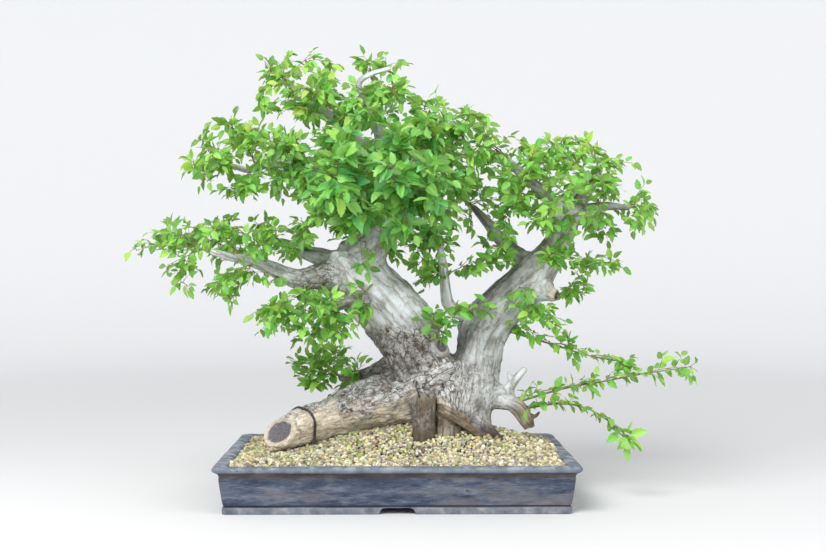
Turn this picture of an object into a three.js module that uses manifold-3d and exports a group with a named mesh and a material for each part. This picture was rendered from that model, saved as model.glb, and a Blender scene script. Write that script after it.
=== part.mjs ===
// Oriental hornbeam bonsai: an old forked trunk over a thick surface root, in a stoneware tray of soil.
// Millimetres, +Z up. x runs along the pot and the tree's front faces -y. x 0, y 0 is the pot's middle
// until the last lines, which move the whole model so that its own box stands on the origin.

import * as THREE from 'three';
import { mergeVertices } from 'three/addons/utils/BufferGeometryUtils.js';
import Module from 'manifold-3d';

const wasm = await Module();
wasm.setup();

// Driving dimensions

const CLEARANCE = 0.4;

const POT = {
  halfLength: 270,
  halfDepth: 187.5,
  corner: 17,
  tightestCorner: 8,
  cornerSteps: 3,
  floorTop: 18,
  // Inset from the lip's edge, and height: foot skirt, groove, tapering wall, hollow band, rolled lip.
  outside: [
    [15, 0], [14.2, 1.2], [14.2, 9], [16.6, 10.4], [16.6, 12.2], [15, 13.2],
    [9.6, 51.5], [10.4, 55], [8.4, 59], [2, 61.6], [0, 63.6], [0, 66.8], [2.2, 69.5],
  ],
  inside: [[36, 18], [31, 24], [23, 66], [21, 69.5]],
  underside: [[32, 0], [35, 8]],
  notch: { halfTop: 22, halfFoot: 28, height: 9.5 },
  drain: { radius: 12, spread: 130 },
};

const SCREEN = { half: 22, thickness: 1.4, hole: 10, pitch: 18 };

const SOIL = {
  cell: 19,
  level: 69,
  mound: { x: 85, y: 22, z: 24, alongPot: 150, acrossPot: 90 },
  grain: 2.3,
  scatter: 1.7,
};

const WIRE = { radius: 2, sides: 6, steps: 18, along: 0.8, tuck: 24 };

const STEM = { root: 2.6, end: 1.7, sides: 4, steps: 3, rise: 0.08 };

const LEAF = {
  length: 31,
  shrink: 0.3,
  last: 0.8,
  angle: 58,
  spacing: 16.5,
  stalk: 1.2,
  keel: 2,
};

const BLADE = {
  longest: 105,
  first: 9,
  arch: 0.07,
  halfRib: 1.3,
  keel: 1.6,
  fewest: 3,
  most: 7,
  clear: 6,
  stagger: 0.22,
  joint: 40,
};

// Each limb of the wood: how many sides it has, how deep its flutes are, and its line as [x, y, z, radius].
const WOOD = {
  stump: {
    sides: 14,
    flute: 0.08,
    line: [
      [93, 30, 48, 70], [93, 30, 105, 66], [90, 28, 145, 58], [92, 25, 190, 48],
    ],
  },
  log: {
    sides: 12,
    flute: 0.05,
    hollow: { depth: 6, width: 0.66 },
    line: [
      [62, 22, 159, 44], [7, 30, 145, 39], [-44, 42, 131, 34], [-93, 45, 121, 31], [-131, 34, 111, 30],
      [-158, 8, 104, 28], [-174, -16, 101, 25],
    ],
  },
  left_trunk: {
    sides: 12,
    flute: 0.07,
    line: [
      [85, 28, 121, 56], [62, 26, 178, 55], [36, 24, 226, 54], [6, 20, 271, 52], [-26, 15, 308, 48],
      [-55, 10, 338, 42], [-76, 8, 361, 34],
    ],
  },
  leader: {
    sides: 9,
    flute: 0.06,
    line: [
      [-60, 10, 338, 38], [-53, 8, 374, 34], [-34, 4, 405, 27], [-21, 0, 447, 20], [-15, -4, 494, 15],
      [-21, -4, 545, 12], [-34, 0, 593, 9], [-44, 2, 629, 6], [-37, 2, 653, 4],
    ],
  },
  left_limb: {
    sides: 8,
    flute: 0.06,
    line: [
      [-56, 8, 342, 34], [-96, 2, 350, 26], [-126, -2, 343, 20], [-151, -6, 339, 16], [-174, -10, 345, 13],
      [-201, -14, 358, 11], [-232, -18, 369, 9], [-263, -22, 375, 6.5], [-290, -26, 383, 4.5],
    ],
  },
  right_trunk: {
    sides: 12,
    flute: 0.07,
    line: [
      [111, 30, 105, 60], [117, 28, 161, 50], [123, 25, 213, 43], [134, 22, 255, 40], [161, 20, 293, 36],
      [196, 18, 327, 32], [226, 15, 359, 27], [252, 12, 393, 21], [270, 8, 425, 16], [287, 5, 456, 12],
      [304, 2, 485, 9], [317, 0, 510, 6],
    ],
  },
  left_back_limb: {
    sides: 6,
    flute: 0,
    line: [
      [-73, 25, 358, 26], [-109, 45, 371, 16], [-140, 65, 380, 12], [-168, 85, 391, 9], [-192, 100, 401, 6],
    ],
  },
  upper_left_limb: {
    sides: 6,
    flute: 0,
    line: [
      [-20, 2, 453, 17], [-57, 12, 479, 13], [-100, 18, 497, 11], [-148, 20, 515, 9], [-196, 15, 526, 7],
      [-235, 8, 514, 5.5], [-263, 4, 520, 4],
    ],
  },
  top_left_limb: {
    sides: 5,
    flute: 0,
    line: [
      [-16, -2, 510, 12], [-60, 12, 552, 10], [-100, 22, 596, 8], [-146, 16, 622, 6], [-175, 14, 655, 4],
    ],
  },
  shoulder_limb: {
    sides: 5,
    flute: 0,
    line: [
      [-16, -6, 472, 14], [12, -22, 504, 11], [43, -35, 539, 8], [66, -44, 569, 5],
    ],
  },
  front_left_limb: {
    sides: 5,
    flute: 0,
    line: [
      [-28, -6, 430, 13], [-46, -44, 462, 9], [-58, -92, 466, 6.5], [-84, -135, 484, 4],
    ],
  },
  front_right_limb: {
    sides: 5,
    flute: 0,
    line: [
      [-18, -8, 457, 12], [12, -48, 456, 8.5], [26, -98, 472, 6.5], [52, -140, 470, 4],
    ],
  },
  back_left_limb: {
    sides: 5,
    flute: 0,
    line: [
      [-25, 14, 426, 14], [-44, 58, 476, 10], [-52, 108, 504, 7.5], [-80, 150, 544, 4.5],
    ],
  },
  back_right_limb: {
    sides: 5,
    flute: 0,
    line: [
      [-21, 12, 447, 12], [10, 58, 488, 9], [32, 112, 504, 6.5], [72, 150, 534, 4],
    ],
  },
  low_left_limb: {
    sides: 5,
    flute: 0,
    line: [
      [-40, -10, 313, 14], [-70, -50, 305, 8], [-95, -75, 297, 6], [-120, -90, 288, 4.5],
    ],
  },
  low_back_limb: {
    sides: 6,
    flute: 0,
    line: [
      [-9, 50, 195, 22], [-39, 82, 184, 13], [-66, 100, 177, 9], [-93, 108, 175, 6],
    ],
  },
  saddle_limb: {
    sides: 6,
    flute: 0,
    line: [
      [148, 20, 277, 20], [119, 15, 286, 13], [95, 12, 289, 11], [81, 10, 302, 9.5], [76, 8, 331, 8.5],
      [73, 5, 361, 7], [68, 0, 389, 5],
    ],
  },
  right_inner_limb: {
    sides: 5,
    flute: 0,
    line: [
      [268, 12, 418, 15], [247, 26, 467, 11], [221, 36, 493, 9.5], [191, 42, 520, 7.5], [167, 46, 543, 5],
    ],
  },
  right_mid_limb: {
    sides: 6,
    flute: 0,
    line: [
      [219, 22, 351, 22], [190, 48, 384, 12], [166, 62, 407, 10], [147, 70, 433, 8], [126, 74, 456, 5],
    ],
  },
  right_out_limb: {
    sides: 5,
    flute: 0,
    line: [
      [278, 4, 440, 12], [307, -12, 452, 8.5], [337, -20, 455, 6], [362, -24, 452, 4],
    ],
  },
  right_front_limb: {
    sides: 5,
    flute: 0,
    line: [
      [252, 4, 396, 14], [256, -44, 428, 8.5], [244, -92, 440, 6], [244, -125, 464, 4],
    ],
  },
  right_back_limb: {
    sides: 5,
    flute: 0,
    line: [
      [254, 20, 396, 14], [276, 62, 438, 9], [284, 112, 456, 6.5], [304, 145, 484, 4],
    ],
  },
  right_stub: {
    sides: 5,
    flute: 0,
    line: [
      [220, 14, 330, 24], [239, 4, 318, 12], [253, -4, 313, 9],
    ],
  },
  upper_dead_stub: {
    sides: 5,
    flute: 0,
    line: [
      [152, 26, 158, 20], [173, 22, 155, 11], [184, 20, 172, 7], [195, 18, 191, 4.5],
    ],
  },
  lower_dead_stub: {
    sides: 5,
    flute: 0,
    line: [
      [155, 24, 149, 18], [180, 16, 142, 11], [196, 12, 132, 9.5], [205, 10, 115, 8.5], [210, 8, 98, 5],
    ],
  },
  front_root: {
    sides: 8,
    flute: 0.08,
    line: [
      [55, 10, 192, 26], [43, -14, 162, 21], [42, -24, 132, 21], [42, -30, 78, 22],
    ],
  },
  side_root: {
    sides: 5,
    flute: 0,
    line: [
      [61, -10, 140, 14], [82, -24, 126, 11], [111, -26, 110, 10], [140, -14, 86, 9],
    ],
  },
  knob: {
    sides: 7,
    flute: 0.05,
    line: [
      [62, 10, 235, 18], [72, -6, 260, 14], [77, -16, 274, 11],
    ],
  },
};

// Each leafy spray: the limb it grows from, how far along that limb, and where its shoots end.
// The shoots of a trailing spray follow one another along a single long stem.
const SPRAYS = [
  { limb: 'left_limb', at: 1, tips: [[-421, -34, 384], [-392, 0, 420], [-372, -60, 352]] },
  { limb: 'left_limb', at: 0.79, tips: [[-322, 56, 433], [-381, 108, 410]] },
  { limb: 'left_limb', at: 0.7, tips: [[-276, -84, 322], [-268, -24, 296]] },
  { limb: 'left_limb', at: 0.62, tips: [[-245, -66, 422], [-213, -20, 430]] },
  { limb: 'left_limb', at: 0.52, tips: [[-209, -58, 321], [-238, -96, 352]] },
  { limb: 'left_back_limb', at: 1, tips: [[-241, 130, 418], [-218, 90, 444], [-269, 150, 368]] },
  { limb: 'left_back_limb', at: 0.7, tips: [[-166, 150, 436], [-198, 160, 368]] },
  { limb: 'low_left_limb', at: 1, tips: [[-183, -100, 282], [-145, -118, 259], [-199, -66, 299]] },
  { limb: 'low_left_limb', at: 0.7, tips: [[-78, -118, 253], [-47, -128, 273], [-112, -130, 310]] },
  { limb: 'low_back_limb', at: 1, tips: [[-164, 118, 189], [-152, 90, 162], [-135, 150, 207]] },
  { limb: 'low_back_limb', at: 0.7, tips: [[-105, 150, 142]] },
  { limb: 'upper_left_limb', at: 1, tips: [[-304, -6, 551], [-284, -30, 511]] },
  { limb: 'upper_left_limb', at: 0.82, tips: [[-253, -26, 470], [-227, -60, 481]] },
  { limb: 'upper_left_limb', at: 0.78, tips: [[-273, 30, 590], [-242, 70, 594]] },
  { limb: 'upper_left_limb', at: 0.55, tips: [[-177, -66, 484], [-164, -80, 550]] },
  { limb: 'upper_left_limb', at: 0.6, tips: [[-226, 100, 537], [-197, 110, 488]] },
  { limb: 'upper_left_limb', at: 0.3, tips: [[-103, -70, 462]] },
  { limb: 'top_left_limb', at: 1, tips: [[-222, 4, 672], [-168, 14, 706], [-128, -20, 694]] },
  { limb: 'top_left_limb', at: 0.6, tips: [[-104, 60, 671], [-158, 90, 606]] },
  { limb: 'top_left_limb', at: 0.7, tips: [[-150, -60, 598], [-121, -84, 625]] },
  { limb: 'leader', at: 1, tips: [[-60, -10, 706], [12, 6, 690], [-20, 50, 690]] },
  { limb: 'leader', at: 0.88, tips: [[7, -70, 627], [-69, -86, 613]] },
  { limb: 'leader', at: 0.84, tips: [[-49, 90, 656], [4, 110, 622]] },
  { limb: 'shoulder_limb', at: 1, tips: [[100, -50, 596], [48, -10, 622], [106, -100, 556]] },
  { limb: 'shoulder_limb', at: 0.7, tips: [[46, -120, 567], [113, -30, 530]] },
  { limb: 'front_left_limb', at: 1, tips: [[-115, -178, 497], [-83, -168, 529], [-97, -186, 444]] },
  { limb: 'front_left_limb', at: 0.6, tips: [[-66, -148, 401], [-52, -122, 350], [-137, -132, 462]] },
  { limb: 'front_right_limb', at: 1, tips: [[76, -184, 488], [33, -186, 519], [47, -186, 424]] },
  { limb: 'front_right_limb', at: 0.66, tips: [[10, -150, 405], [96, -120, 421], [-11, -190, 490]] },
  { limb: 'back_left_limb', at: 1, tips: [[-117, 196, 570], [-55, 190, 594], [-101, 210, 501]] },
  { limb: 'back_left_limb', at: 0.6, tips: [[-136, 160, 481], [-44, 196, 458]] },
  { limb: 'back_right_limb', at: 1, tips: [[112, 190, 559], [39, 200, 588], [61, 214, 494]] },
  { limb: 'saddle_limb', at: 1, tips: [[54, -34, 414], [33, 40, 393], [88, 20, 441]] },
  { limb: 'saddle_limb', at: 0.72, tips: [[128, -44, 372], [24, 66, 330]] },
  { limb: 'right_inner_limb', at: 1, tips: [[139, 20, 556], [178, 70, 574], [137, 90, 520]] },
  { limb: 'right_inner_limb', at: 0.6, tips: [[210, 0, 542], [189, -60, 469]] },
  { limb: 'right_mid_limb', at: 1, tips: [[101, 90, 477], [119, 120, 418], [147, 40, 468]] },
  { limb: 'right_trunk', at: 1, tips: [[318, -16, 556], [274, 24, 574], [376, 34, 526]] },
  { limb: 'right_trunk', at: 0.93, tips: [[252, -50, 537], [351, 80, 503]] },
  { limb: 'right_out_limb', at: 1, tips: [[402, -30, 452], [390, 22, 484], [374, -66, 422]] },
  { limb: 'right_out_limb', at: 0.4, tips: [[322, -84, 492], [330, 44, 400]] },
  { limb: 'right_front_limb', at: 1, tips: [[269, -160, 475], [209, -156, 487], [224, -170, 436]] },
  { limb: 'right_front_limb', at: 0.5, tips: [[314, -104, 430], [184, -92, 424]] },
  { limb: 'right_back_limb', at: 1, tips: [[350, 176, 509], [274, 180, 523], [335, 190, 451]] },
  { limb: 'right_stub', at: 0.9, tips: [[306, -20, 318], [310, 10, 356]] },
  { limb: 'right_trunk', at: 0.4, tips: [[266, -34, 250], [218, -84, 280]] },
  { limb: 'right_trunk', at: 0.3, tips: [[240, 6, 238], [306, 0, 218], [362, -4, 208]], trailing: true },
  {
    limb: 'lower_dead_stub',
    at: 0.3,
    tips: [[262, -4, 166], [324, -20, 179], [384, -34, 192], [456, -44, 204]],
    trailing: true,
  },
  {
    limb: 'lower_dead_stub',
    at: 0.5,
    tips: [[263, -20, 144], [314, -44, 130], [350, -62, 96]],
    trailing: true,
  },
  { limb: 'knob', at: 0.8, tips: [[88, -82, 287], [40, -62, 296]] },
  { limb: 'right_trunk', at: 0.45, tips: [[190, -74, 312]] },
];

const ROLLS = [0, 24, -24, 48, -48, 75, -75, 100];
const REACHES = [1, 0.9, 1.1, 0.8, 0.7, 0.6];
const UP = new THREE.Vector3(0, 0, 1);

function finish(color, roughness, flatShading) {
  return new THREE.MeshStandardMaterial({ color, roughness, metalness: 0, flatShading });
}

const MATERIALS = {
  stoneware: finish(0x3d464e, 0.72, false),
  plastic: finish(0x1c1f1e, 0.5, false),
  granules: finish(0xc9bf92, 0.95, true),
  wood: finish(0x9a8f83, 0.88, true),
  wire: finish(0x1b1b1c, 0.45, false),
  leaf: finish(0x6aa437, 0.55, true),
};

// A repeatable draw from 0 to 1 for each whole number.
function chance(number) {
  const wave = Math.sin(number * 12.9898) * 43758.5453;
  return wave - Math.floor(wave);
}

function vector([x, y, z]) {
  return new THREE.Vector3(x, y, z);
}

// Closed solids from points and faces

function solid(points, faces) {
  const vertProperties = new Float32Array(points.flatMap((point) => [point.x, point.y, point.z]));
  const triVerts = new Uint32Array(faces.flat());
  return new wasm.Manifold(new wasm.Mesh({ numProp: 3, vertProperties, triVerts }));
}

function solidFromGeometry(geometry) {
  geometry.deleteAttribute('normal');
  geometry.deleteAttribute('uv');
  const merged = mergeVertices(geometry, 1e-3);
  const vertProperties = new Float32Array(merged.attributes.position.array);
  const triVerts = new Uint32Array(merged.index.array);
  return new wasm.Manifold(new wasm.Mesh({ numProp: 3, vertProperties, triVerts }));
}

function mesh(name, body, material) {
  const { vertProperties, triVerts } = body.getMesh();
  const geometry = new THREE.BufferGeometry();
  geometry.setAttribute('position', new THREE.BufferAttribute(vertProperties, 3));
  geometry.setIndex(new THREE.BufferAttribute(triVerts, 1));
  geometry.computeVertexNormals();
  const result = new THREE.Mesh(geometry, material);
  result.name = name;
  return result;
}

function largest(body) {
  return body.decompose().sort((a, b) => b.volume() - a.volume())[0];
}

// Joins rings of equal length, each turning left round the way ahead, into one closed skin.
function skin(rings) {
  const sides = rings[0].length;
  const faces = [];
  for (let ring = 1; ring < rings.length; ring += 1) {
    const near = (ring - 1) * sides;
    const far = ring * sides;
    for (let side = 0; side < sides; side += 1) {
      const next = (side + 1) % sides;
      faces.push([near + side, near + next, far + next], [near + side, far + next, far + side]);
    }
  }
  const last = (rings.length - 1) * sides;
  for (let side = 1; side + 1 < sides; side += 1) {
    faces.push([0, side + 1, side], [last, last + side, last + side + 1]);
  }
  return solid(rings.flat(), faces);
}

// A sheet of even thickness from triangles that share points. Both faces are split alike.
function sheet(points, normals, triangles, thickness) {
  const count = points.length;
  const top = points.map((point, i) => point.clone().addScaledVector(normals[i], thickness / 2));
  const under = points.map((point, i) => point.clone().addScaledVector(normals[i], -thickness / 2));
  const faces = [];
  const open = new Set();
  for (const [a, b, c] of triangles) {
    faces.push([a, b, c], [count + a, count + c, count + b]);
    for (const [from, to] of [[a, b], [b, c], [c, a]]) {
      if (!open.delete(`${to} ${from}`)) {
        open.add(`${from} ${to}`);
      }
    }
  }
  for (const edge of open) {
    const [from, to] = edge.split(' ').map(Number);
    faces.push([from, count + from, count + to], [from, count + to, to]);
  }
  return solid([...top, ...under], faces);
}

// Pot

function trayRing(inset, height) {
  const radius = Math.max(POT.corner - inset, POT.tightestCorner);
  const across = POT.halfLength - inset - radius;
  const deep = POT.halfDepth - inset - radius;
  const ring = [];
  for (const [quarter, right, back] of [[0, 1, 1], [1, -1, 1], [2, -1, -1], [3, 1, -1]]) {
    for (let step = 0; step <= POT.cornerSteps; step += 1) {
      const angle = (quarter + step / POT.cornerSteps) * Math.PI / 2;
      const x = right * across + radius * Math.cos(angle);
      const y = back * deep + radius * Math.sin(angle);
      ring.push(new THREE.Vector3(x, y, height));
    }
  }
  return ring;
}

function tray(profile, inset = 0, below = 0, above = 0) {
  const last = profile.length - 1;
  return skin(profile.map(([step, height], i) => {
    const stretch = (i === 0 ? -below : 0) + (i === last ? above : 0);
    return trayRing(step + inset, height + stretch);
  }));
}

function upright(radius, low, high) {
  const geometry = new THREE.CylinderGeometry(radius, radius, high - low, 20);
  geometry.rotateX(Math.PI / 2);
  geometry.translate(0, 0, (high + low) / 2);
  return solidFromGeometry(geometry);
}

function notchCut() {
  const { halfTop, halfFoot, height } = POT.notch;
  const outline = new THREE.Shape();
  outline.moveTo(-halfFoot, -1);
  outline.lineTo(halfFoot, -1);
  outline.lineTo(halfTop, height);
  outline.lineTo(-halfTop, height);
  outline.closePath();
  const geometry = new THREE.ExtrudeGeometry(outline, { depth: 2 * POT.halfDepth, bevelEnabled: false });
  geometry.rotateX(Math.PI / 2);
  geometry.translate(0, POT.halfDepth, 0);
  return solidFromGeometry(geometry);
}

function makePot() {
  let pot = tray(POT.outside);
  pot = pot.subtract(tray(POT.inside, 0, 0, 1));
  pot = pot.subtract(tray(POT.underside, 0, 1, 0));
  pot = pot.subtract(notchCut());
  for (const side of [-1, 1]) {
    const hole = upright(POT.drain.radius, 0, POT.floorTop + 1);
    pot = pot.subtract(hole.translate([side * POT.drain.spread, 0, 0]));
  }
  return pot;
}

// Drain screens

function screenSquare(half, low, high) {
  const outline = new THREE.Shape();
  outline.moveTo(-half, -half);
  outline.lineTo(half, -half);
  outline.lineTo(half, half);
  outline.lineTo(-half, half);
  outline.closePath();
  const geometry = new THREE.ExtrudeGeometry(outline, { depth: high - low, bevelEnabled: false });
  geometry.translate(0, 0, low);
  return solidFromGeometry(geometry);
}

function makeScreen() {
  const low = POT.floorTop + CLEARANCE;
  const high = low + SCREEN.thickness;
  let screen = screenSquare(SCREEN.half, low, high);
  for (const row of [-0.5, 0.5]) {
    for (const column of [-0.5, 0.5]) {
      const hole = screenSquare(SCREEN.hole / 2, low - 1, high + 1);
      screen = screen.subtract(hole.translate([column * SCREEN.pitch, row * SCREEN.pitch, 0]));
    }
  }
  return screen;
}

function screenRoom() {
  return screenSquare(SCREEN.half + CLEARANCE, 0, POT.floorTop + 2 * CLEARANCE + SCREEN.thickness);
}

// Wood

// A smooth line through hand-set points, which also carries the radius from one to the next.
class Limb {
  constructor(line) {
    this.radii = line.map((point) => point[3]);
    this.curve = new THREE.CatmullRomCurve3(line.map(vector), false, 'catmullrom', 0.5);
  }

  point(at) {
    return this.curve.getPoint(at);
  }

  radius(at) {
    const place = at * (this.radii.length - 1);
    const near = Math.min(Math.floor(place), this.radii.length - 2);
    return THREE.MathUtils.lerp(this.radii[near], this.radii[near + 1], place - near);
  }
}

// Carries one side direction along a path without twisting it, and gives the ring's two axes at each point.
function axesAlong(path) {
  const axes = [];
  let side = null;
  for (let i = 0; i < path.length; i += 1) {
    const ahead = path[Math.min(i + 1, path.length - 1)].clone();
    ahead.sub(path[Math.max(i - 1, 0)]).normalize();
    if (side === null) {
      side = Math.abs(ahead.z) > 0.9 ? new THREE.Vector3(1, 0, 0) : UP.clone();
    }
    side = side.clone().addScaledVector(ahead, -side.dot(ahead)).normalize();
    axes.push({ ahead, side, over: ahead.clone().cross(side) });
  }
  return axes;
}

function woodRadius(shape, radius, at, angle) {
  const broad = Math.sin(3 * angle + 5 * at + shape.sides);
  const fine = Math.sin(5 * angle - 7 * at + 2 * shape.sides);
  return radius * (1 + shape.flute * broad + 0.6 * shape.flute * fine);
}

function ringRound(centre, axes, sides, radiusAt) {
  const ring = [];
  for (let i = 0; i < sides; i += 1) {
    const angle = 2 * Math.PI * i / sides;
    const radius = radiusAt(angle);
    const point = centre.clone().addScaledVector(axes.side, radius * Math.cos(angle));
    ring.push(point.addScaledVector(axes.over, radius * Math.sin(angle)));
  }
  return ring;
}

function limbSolid(shape, extra) {
  const limb = new Limb(shape.line);
  const steps = shape.line.length - 1;
  const places = Array.from({ length: steps + 1 }, (_, i) => i / steps);
  const path = places.map((at) => limb.point(at));
  const axes = axesAlong(path);
  const rings = places.map((at, i) => ringRound(path[i], axes[i], shape.sides, (angle) => (
    woodRadius(shape, limb.radius(at), at, angle) + extra)));
  if (shape.hollow) {
    const { depth, width } = shape.hollow;
    const centre = path.at(-1).clone().addScaledVector(axes.at(-1).ahead, extra - depth);
    rings.push(ringRound(centre, axes.at(-1), shape.sides, () => width * limb.radius(1)));
  }
  return skin(rings);
}

function makeWood(extra = 0) {
  const bodies = Object.values(WOOD).map((shape) => limbSolid(shape, extra));
  return bodies.reduce((whole, body) => whole.add(body));
}

// Tie wire

// The wire goes over the surface root just behind its sawn face and down into the soil on both sides.
function wirePath() {
  const shape = WOOD.log;
  const limb = new Limb(shape.line);
  const step = 0.02;
  const centre = limb.point(WIRE.along);
  const [axes] = axesAlong([centre, limb.point(WIRE.along + step)]);
  const radius = limb.radius(WIRE.along) * (1 + 1.2 * shape.flute) + WIRE.radius + CLEARANCE;
  const path = [];
  for (let angle = -1.9; angle <= 1.91; angle += 0.38) {
    const point = centre.clone().addScaledVector(axes.side, radius * Math.cos(angle));
    path.push(point.addScaledVector(axes.over, radius * Math.sin(angle)));
  }
  for (const end of [path[0].clone(), path.at(-1).clone()]) {
    end.z -= WIRE.tuck;
    if (end.distanceTo(path[0]) < end.distanceTo(path.at(-1))) {
      path.unshift(end);
    } else {
      path.push(end);
    }
  }
  return new THREE.CatmullRomCurve3(path);
}

function makeWire(extra = 0) {
  const section = new THREE.Shape();
  for (let i = 0; i < WIRE.sides; i += 1) {
    const angle = 2 * Math.PI * i / WIRE.sides;
    const x = (WIRE.radius + extra) * Math.cos(angle);
    const y = (WIRE.radius + extra) * Math.sin(angle);
    if (i === 0) {
      section.moveTo(x, y);
    } else {
      section.lineTo(x, y);
    }
  }
  section.closePath();
  const extrudePath = wirePath();
  return solidFromGeometry(new THREE.ExtrudeGeometry(section, { steps: WIRE.steps, extrudePath }));
}

// Soil

function soilHeight(x, y) {
  const { mound } = SOIL;
  const along = (x - mound.x) / mound.alongPot;
  const across = (y - mound.y) / mound.acrossPot;
  return SOIL.level + mound.z * Math.exp(-along * along - across * across);
}

function soilBlock() {
  const columns = Math.ceil(2 * POT.halfLength / SOIL.cell);
  const rows = Math.ceil(2 * POT.halfDepth / SOIL.cell);
  const points = [];
  const faces = [];
  const index = (column, row) => row * (columns + 1) + column;
  for (let row = 0; row <= rows; row += 1) {
    for (let column = 0; column <= columns; column += 1) {
      const draw = chance(index(column, row));
      const x = (column - columns / 2) * SOIL.cell + (draw - 0.5) * SOIL.cell * 0.35;
      const y = (row - rows / 2) * SOIL.cell + (chance(draw * 997) - 0.5) * SOIL.cell * 0.35;
      const bump = (row + column) % 2 === 0 ? SOIL.grain : -SOIL.grain;
      points.push(new THREE.Vector3(x, y, soilHeight(x, y) + bump + (draw - 0.5) * SOIL.scatter));
    }
  }
  for (let row = 0; row < rows; row += 1) {
    for (let column = 0; column < columns; column += 1) {
      const round = [[0, 0], [1, 0], [1, 1], [0, 1]].map(([right, back]) => (
        index(column + right, row + back)));
      const turn = (row + column) % 2;
      const [a, b, c, d] = [0, 1, 2, 3].map((i) => round[(i + turn) % 4]);
      faces.push([a, b, c], [a, c, d]);
    }
  }
  const across = Array.from({ length: columns }, (_, i) => i);
  const deep = Array.from({ length: rows }, (_, i) => i);
  const rim = [
    ...across.map((i) => index(i, 0)),
    ...deep.map((i) => index(columns, i)),
    ...across.map((i) => index(columns - i, rows)),
    ...deep.map((i) => index(0, rows - i)),
  ];
  const foot = points.length;
  points.push(...rim.map((corner) => points[corner].clone().setZ(0)));
  const middle = points.length;
  points.push(new THREE.Vector3(0, 0, 0));
  for (let i = 0; i < rim.length; i += 1) {
    const next = (i + 1) % rim.length;
    faces.push([rim[i], foot + i, foot + next], [rim[i], foot + next, rim[next]]);
    faces.push([middle, foot + next, foot + i]);
  }
  return solid(points, faces);
}

function makeSoil(woodRoom, wireRoom) {
  let soil = soilBlock().intersect(tray(POT.inside, CLEARANCE, -CLEARANCE, 60));
  for (const side of [-1, 1]) {
    soil = soil.subtract(screenRoom().translate([side * POT.drain.spread, 0, 0]));
  }
  return largest(soil.subtract(woodRoom).subtract(wireRoom));
}

// Leafy sprays

function stemSolid(path, from, to) {
  const steps = path.length - 1;
  const axes = axesAlong(path);
  return skin(path.map((point, i) => {
    const radius = THREE.MathUtils.lerp(from, to, i / steps);
    return ringRound(point, axes[i], STEM.sides, () => radius);
  }));
}

// A line that rises a little in its middle, as a shoot does that grows out and up and then bends over.
function bowed(start, end, rise, at) {
  const point = start.clone().lerp(end, at);
  point.z += rise * start.distanceTo(end) * 4 * at * (1 - at);
  return point;
}

// The stem of a spray, and where each of its shoots starts.
function sprayPlan(spray) {
  const limb = new Limb(WOOD[spray.limb].line);
  const root = limb.point(spray.at);
  const tips = spray.tips.map(vector);
  if (spray.trailing) {
    const knots = [root, ...tips.slice(0, -1)];
    const curve = new THREE.CatmullRomCurve3([...knots, tips.at(-1)], false, 'catmullrom', 0.5);
    const count = STEM.steps * (knots.length - 1);
    const path = Array.from({ length: count + 1 }, (_, i) => (
      curve.getPoint(i / count * (knots.length - 1) / knots.length)));
    return { path, shoots: tips.map((tip, i) => ({ start: knots[i], tip })) };
  }
  const reach = root.distanceTo(tips[0]);
  const bark = (limb.radius(spray.at) + BLADE.clear) / reach;
  const share = Math.max(bark, 1 - BLADE.longest / reach);
  const path = Array.from({ length: STEM.steps + 1 }, (_, i) => (
    bowed(root, tips[0], STEM.rise, share * i / STEM.steps)));
  const shoots = tips.map((tip, i) => ({
    start: bowed(root, tips[0], STEM.rise, Math.max(bark, share * (1 - BLADE.stagger * i))),
    tip,
  }));
  return { path, shoots };
}

// A leaf's outline in shares of its length: along it, and across it towards the shoot's tip.
const LEAF_OUTLINE = [[0.3, -0.28], [0.68, -0.22], [1, 0.02], [0.4, 0.29]];
const LEAF_MIDDLE = 0.45;

// Walks two lines of points from root to tip and fills the strip between them with triangles.
function strip(left, right, fill) {
  let [l, r] = [0, 0];
  while (l + 1 < left.length || r + 1 < right.length) {
    if (l + 1 >= left.length || (r + 1 < right.length && right[r + 1].at <= left[l + 1].at)) {
      fill(left[l], right[r], right[r + 1]);
      r += 1;
    } else {
      fill(left[l], right[r], left[l + 1]);
      l += 1;
    }
  }
}

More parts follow.
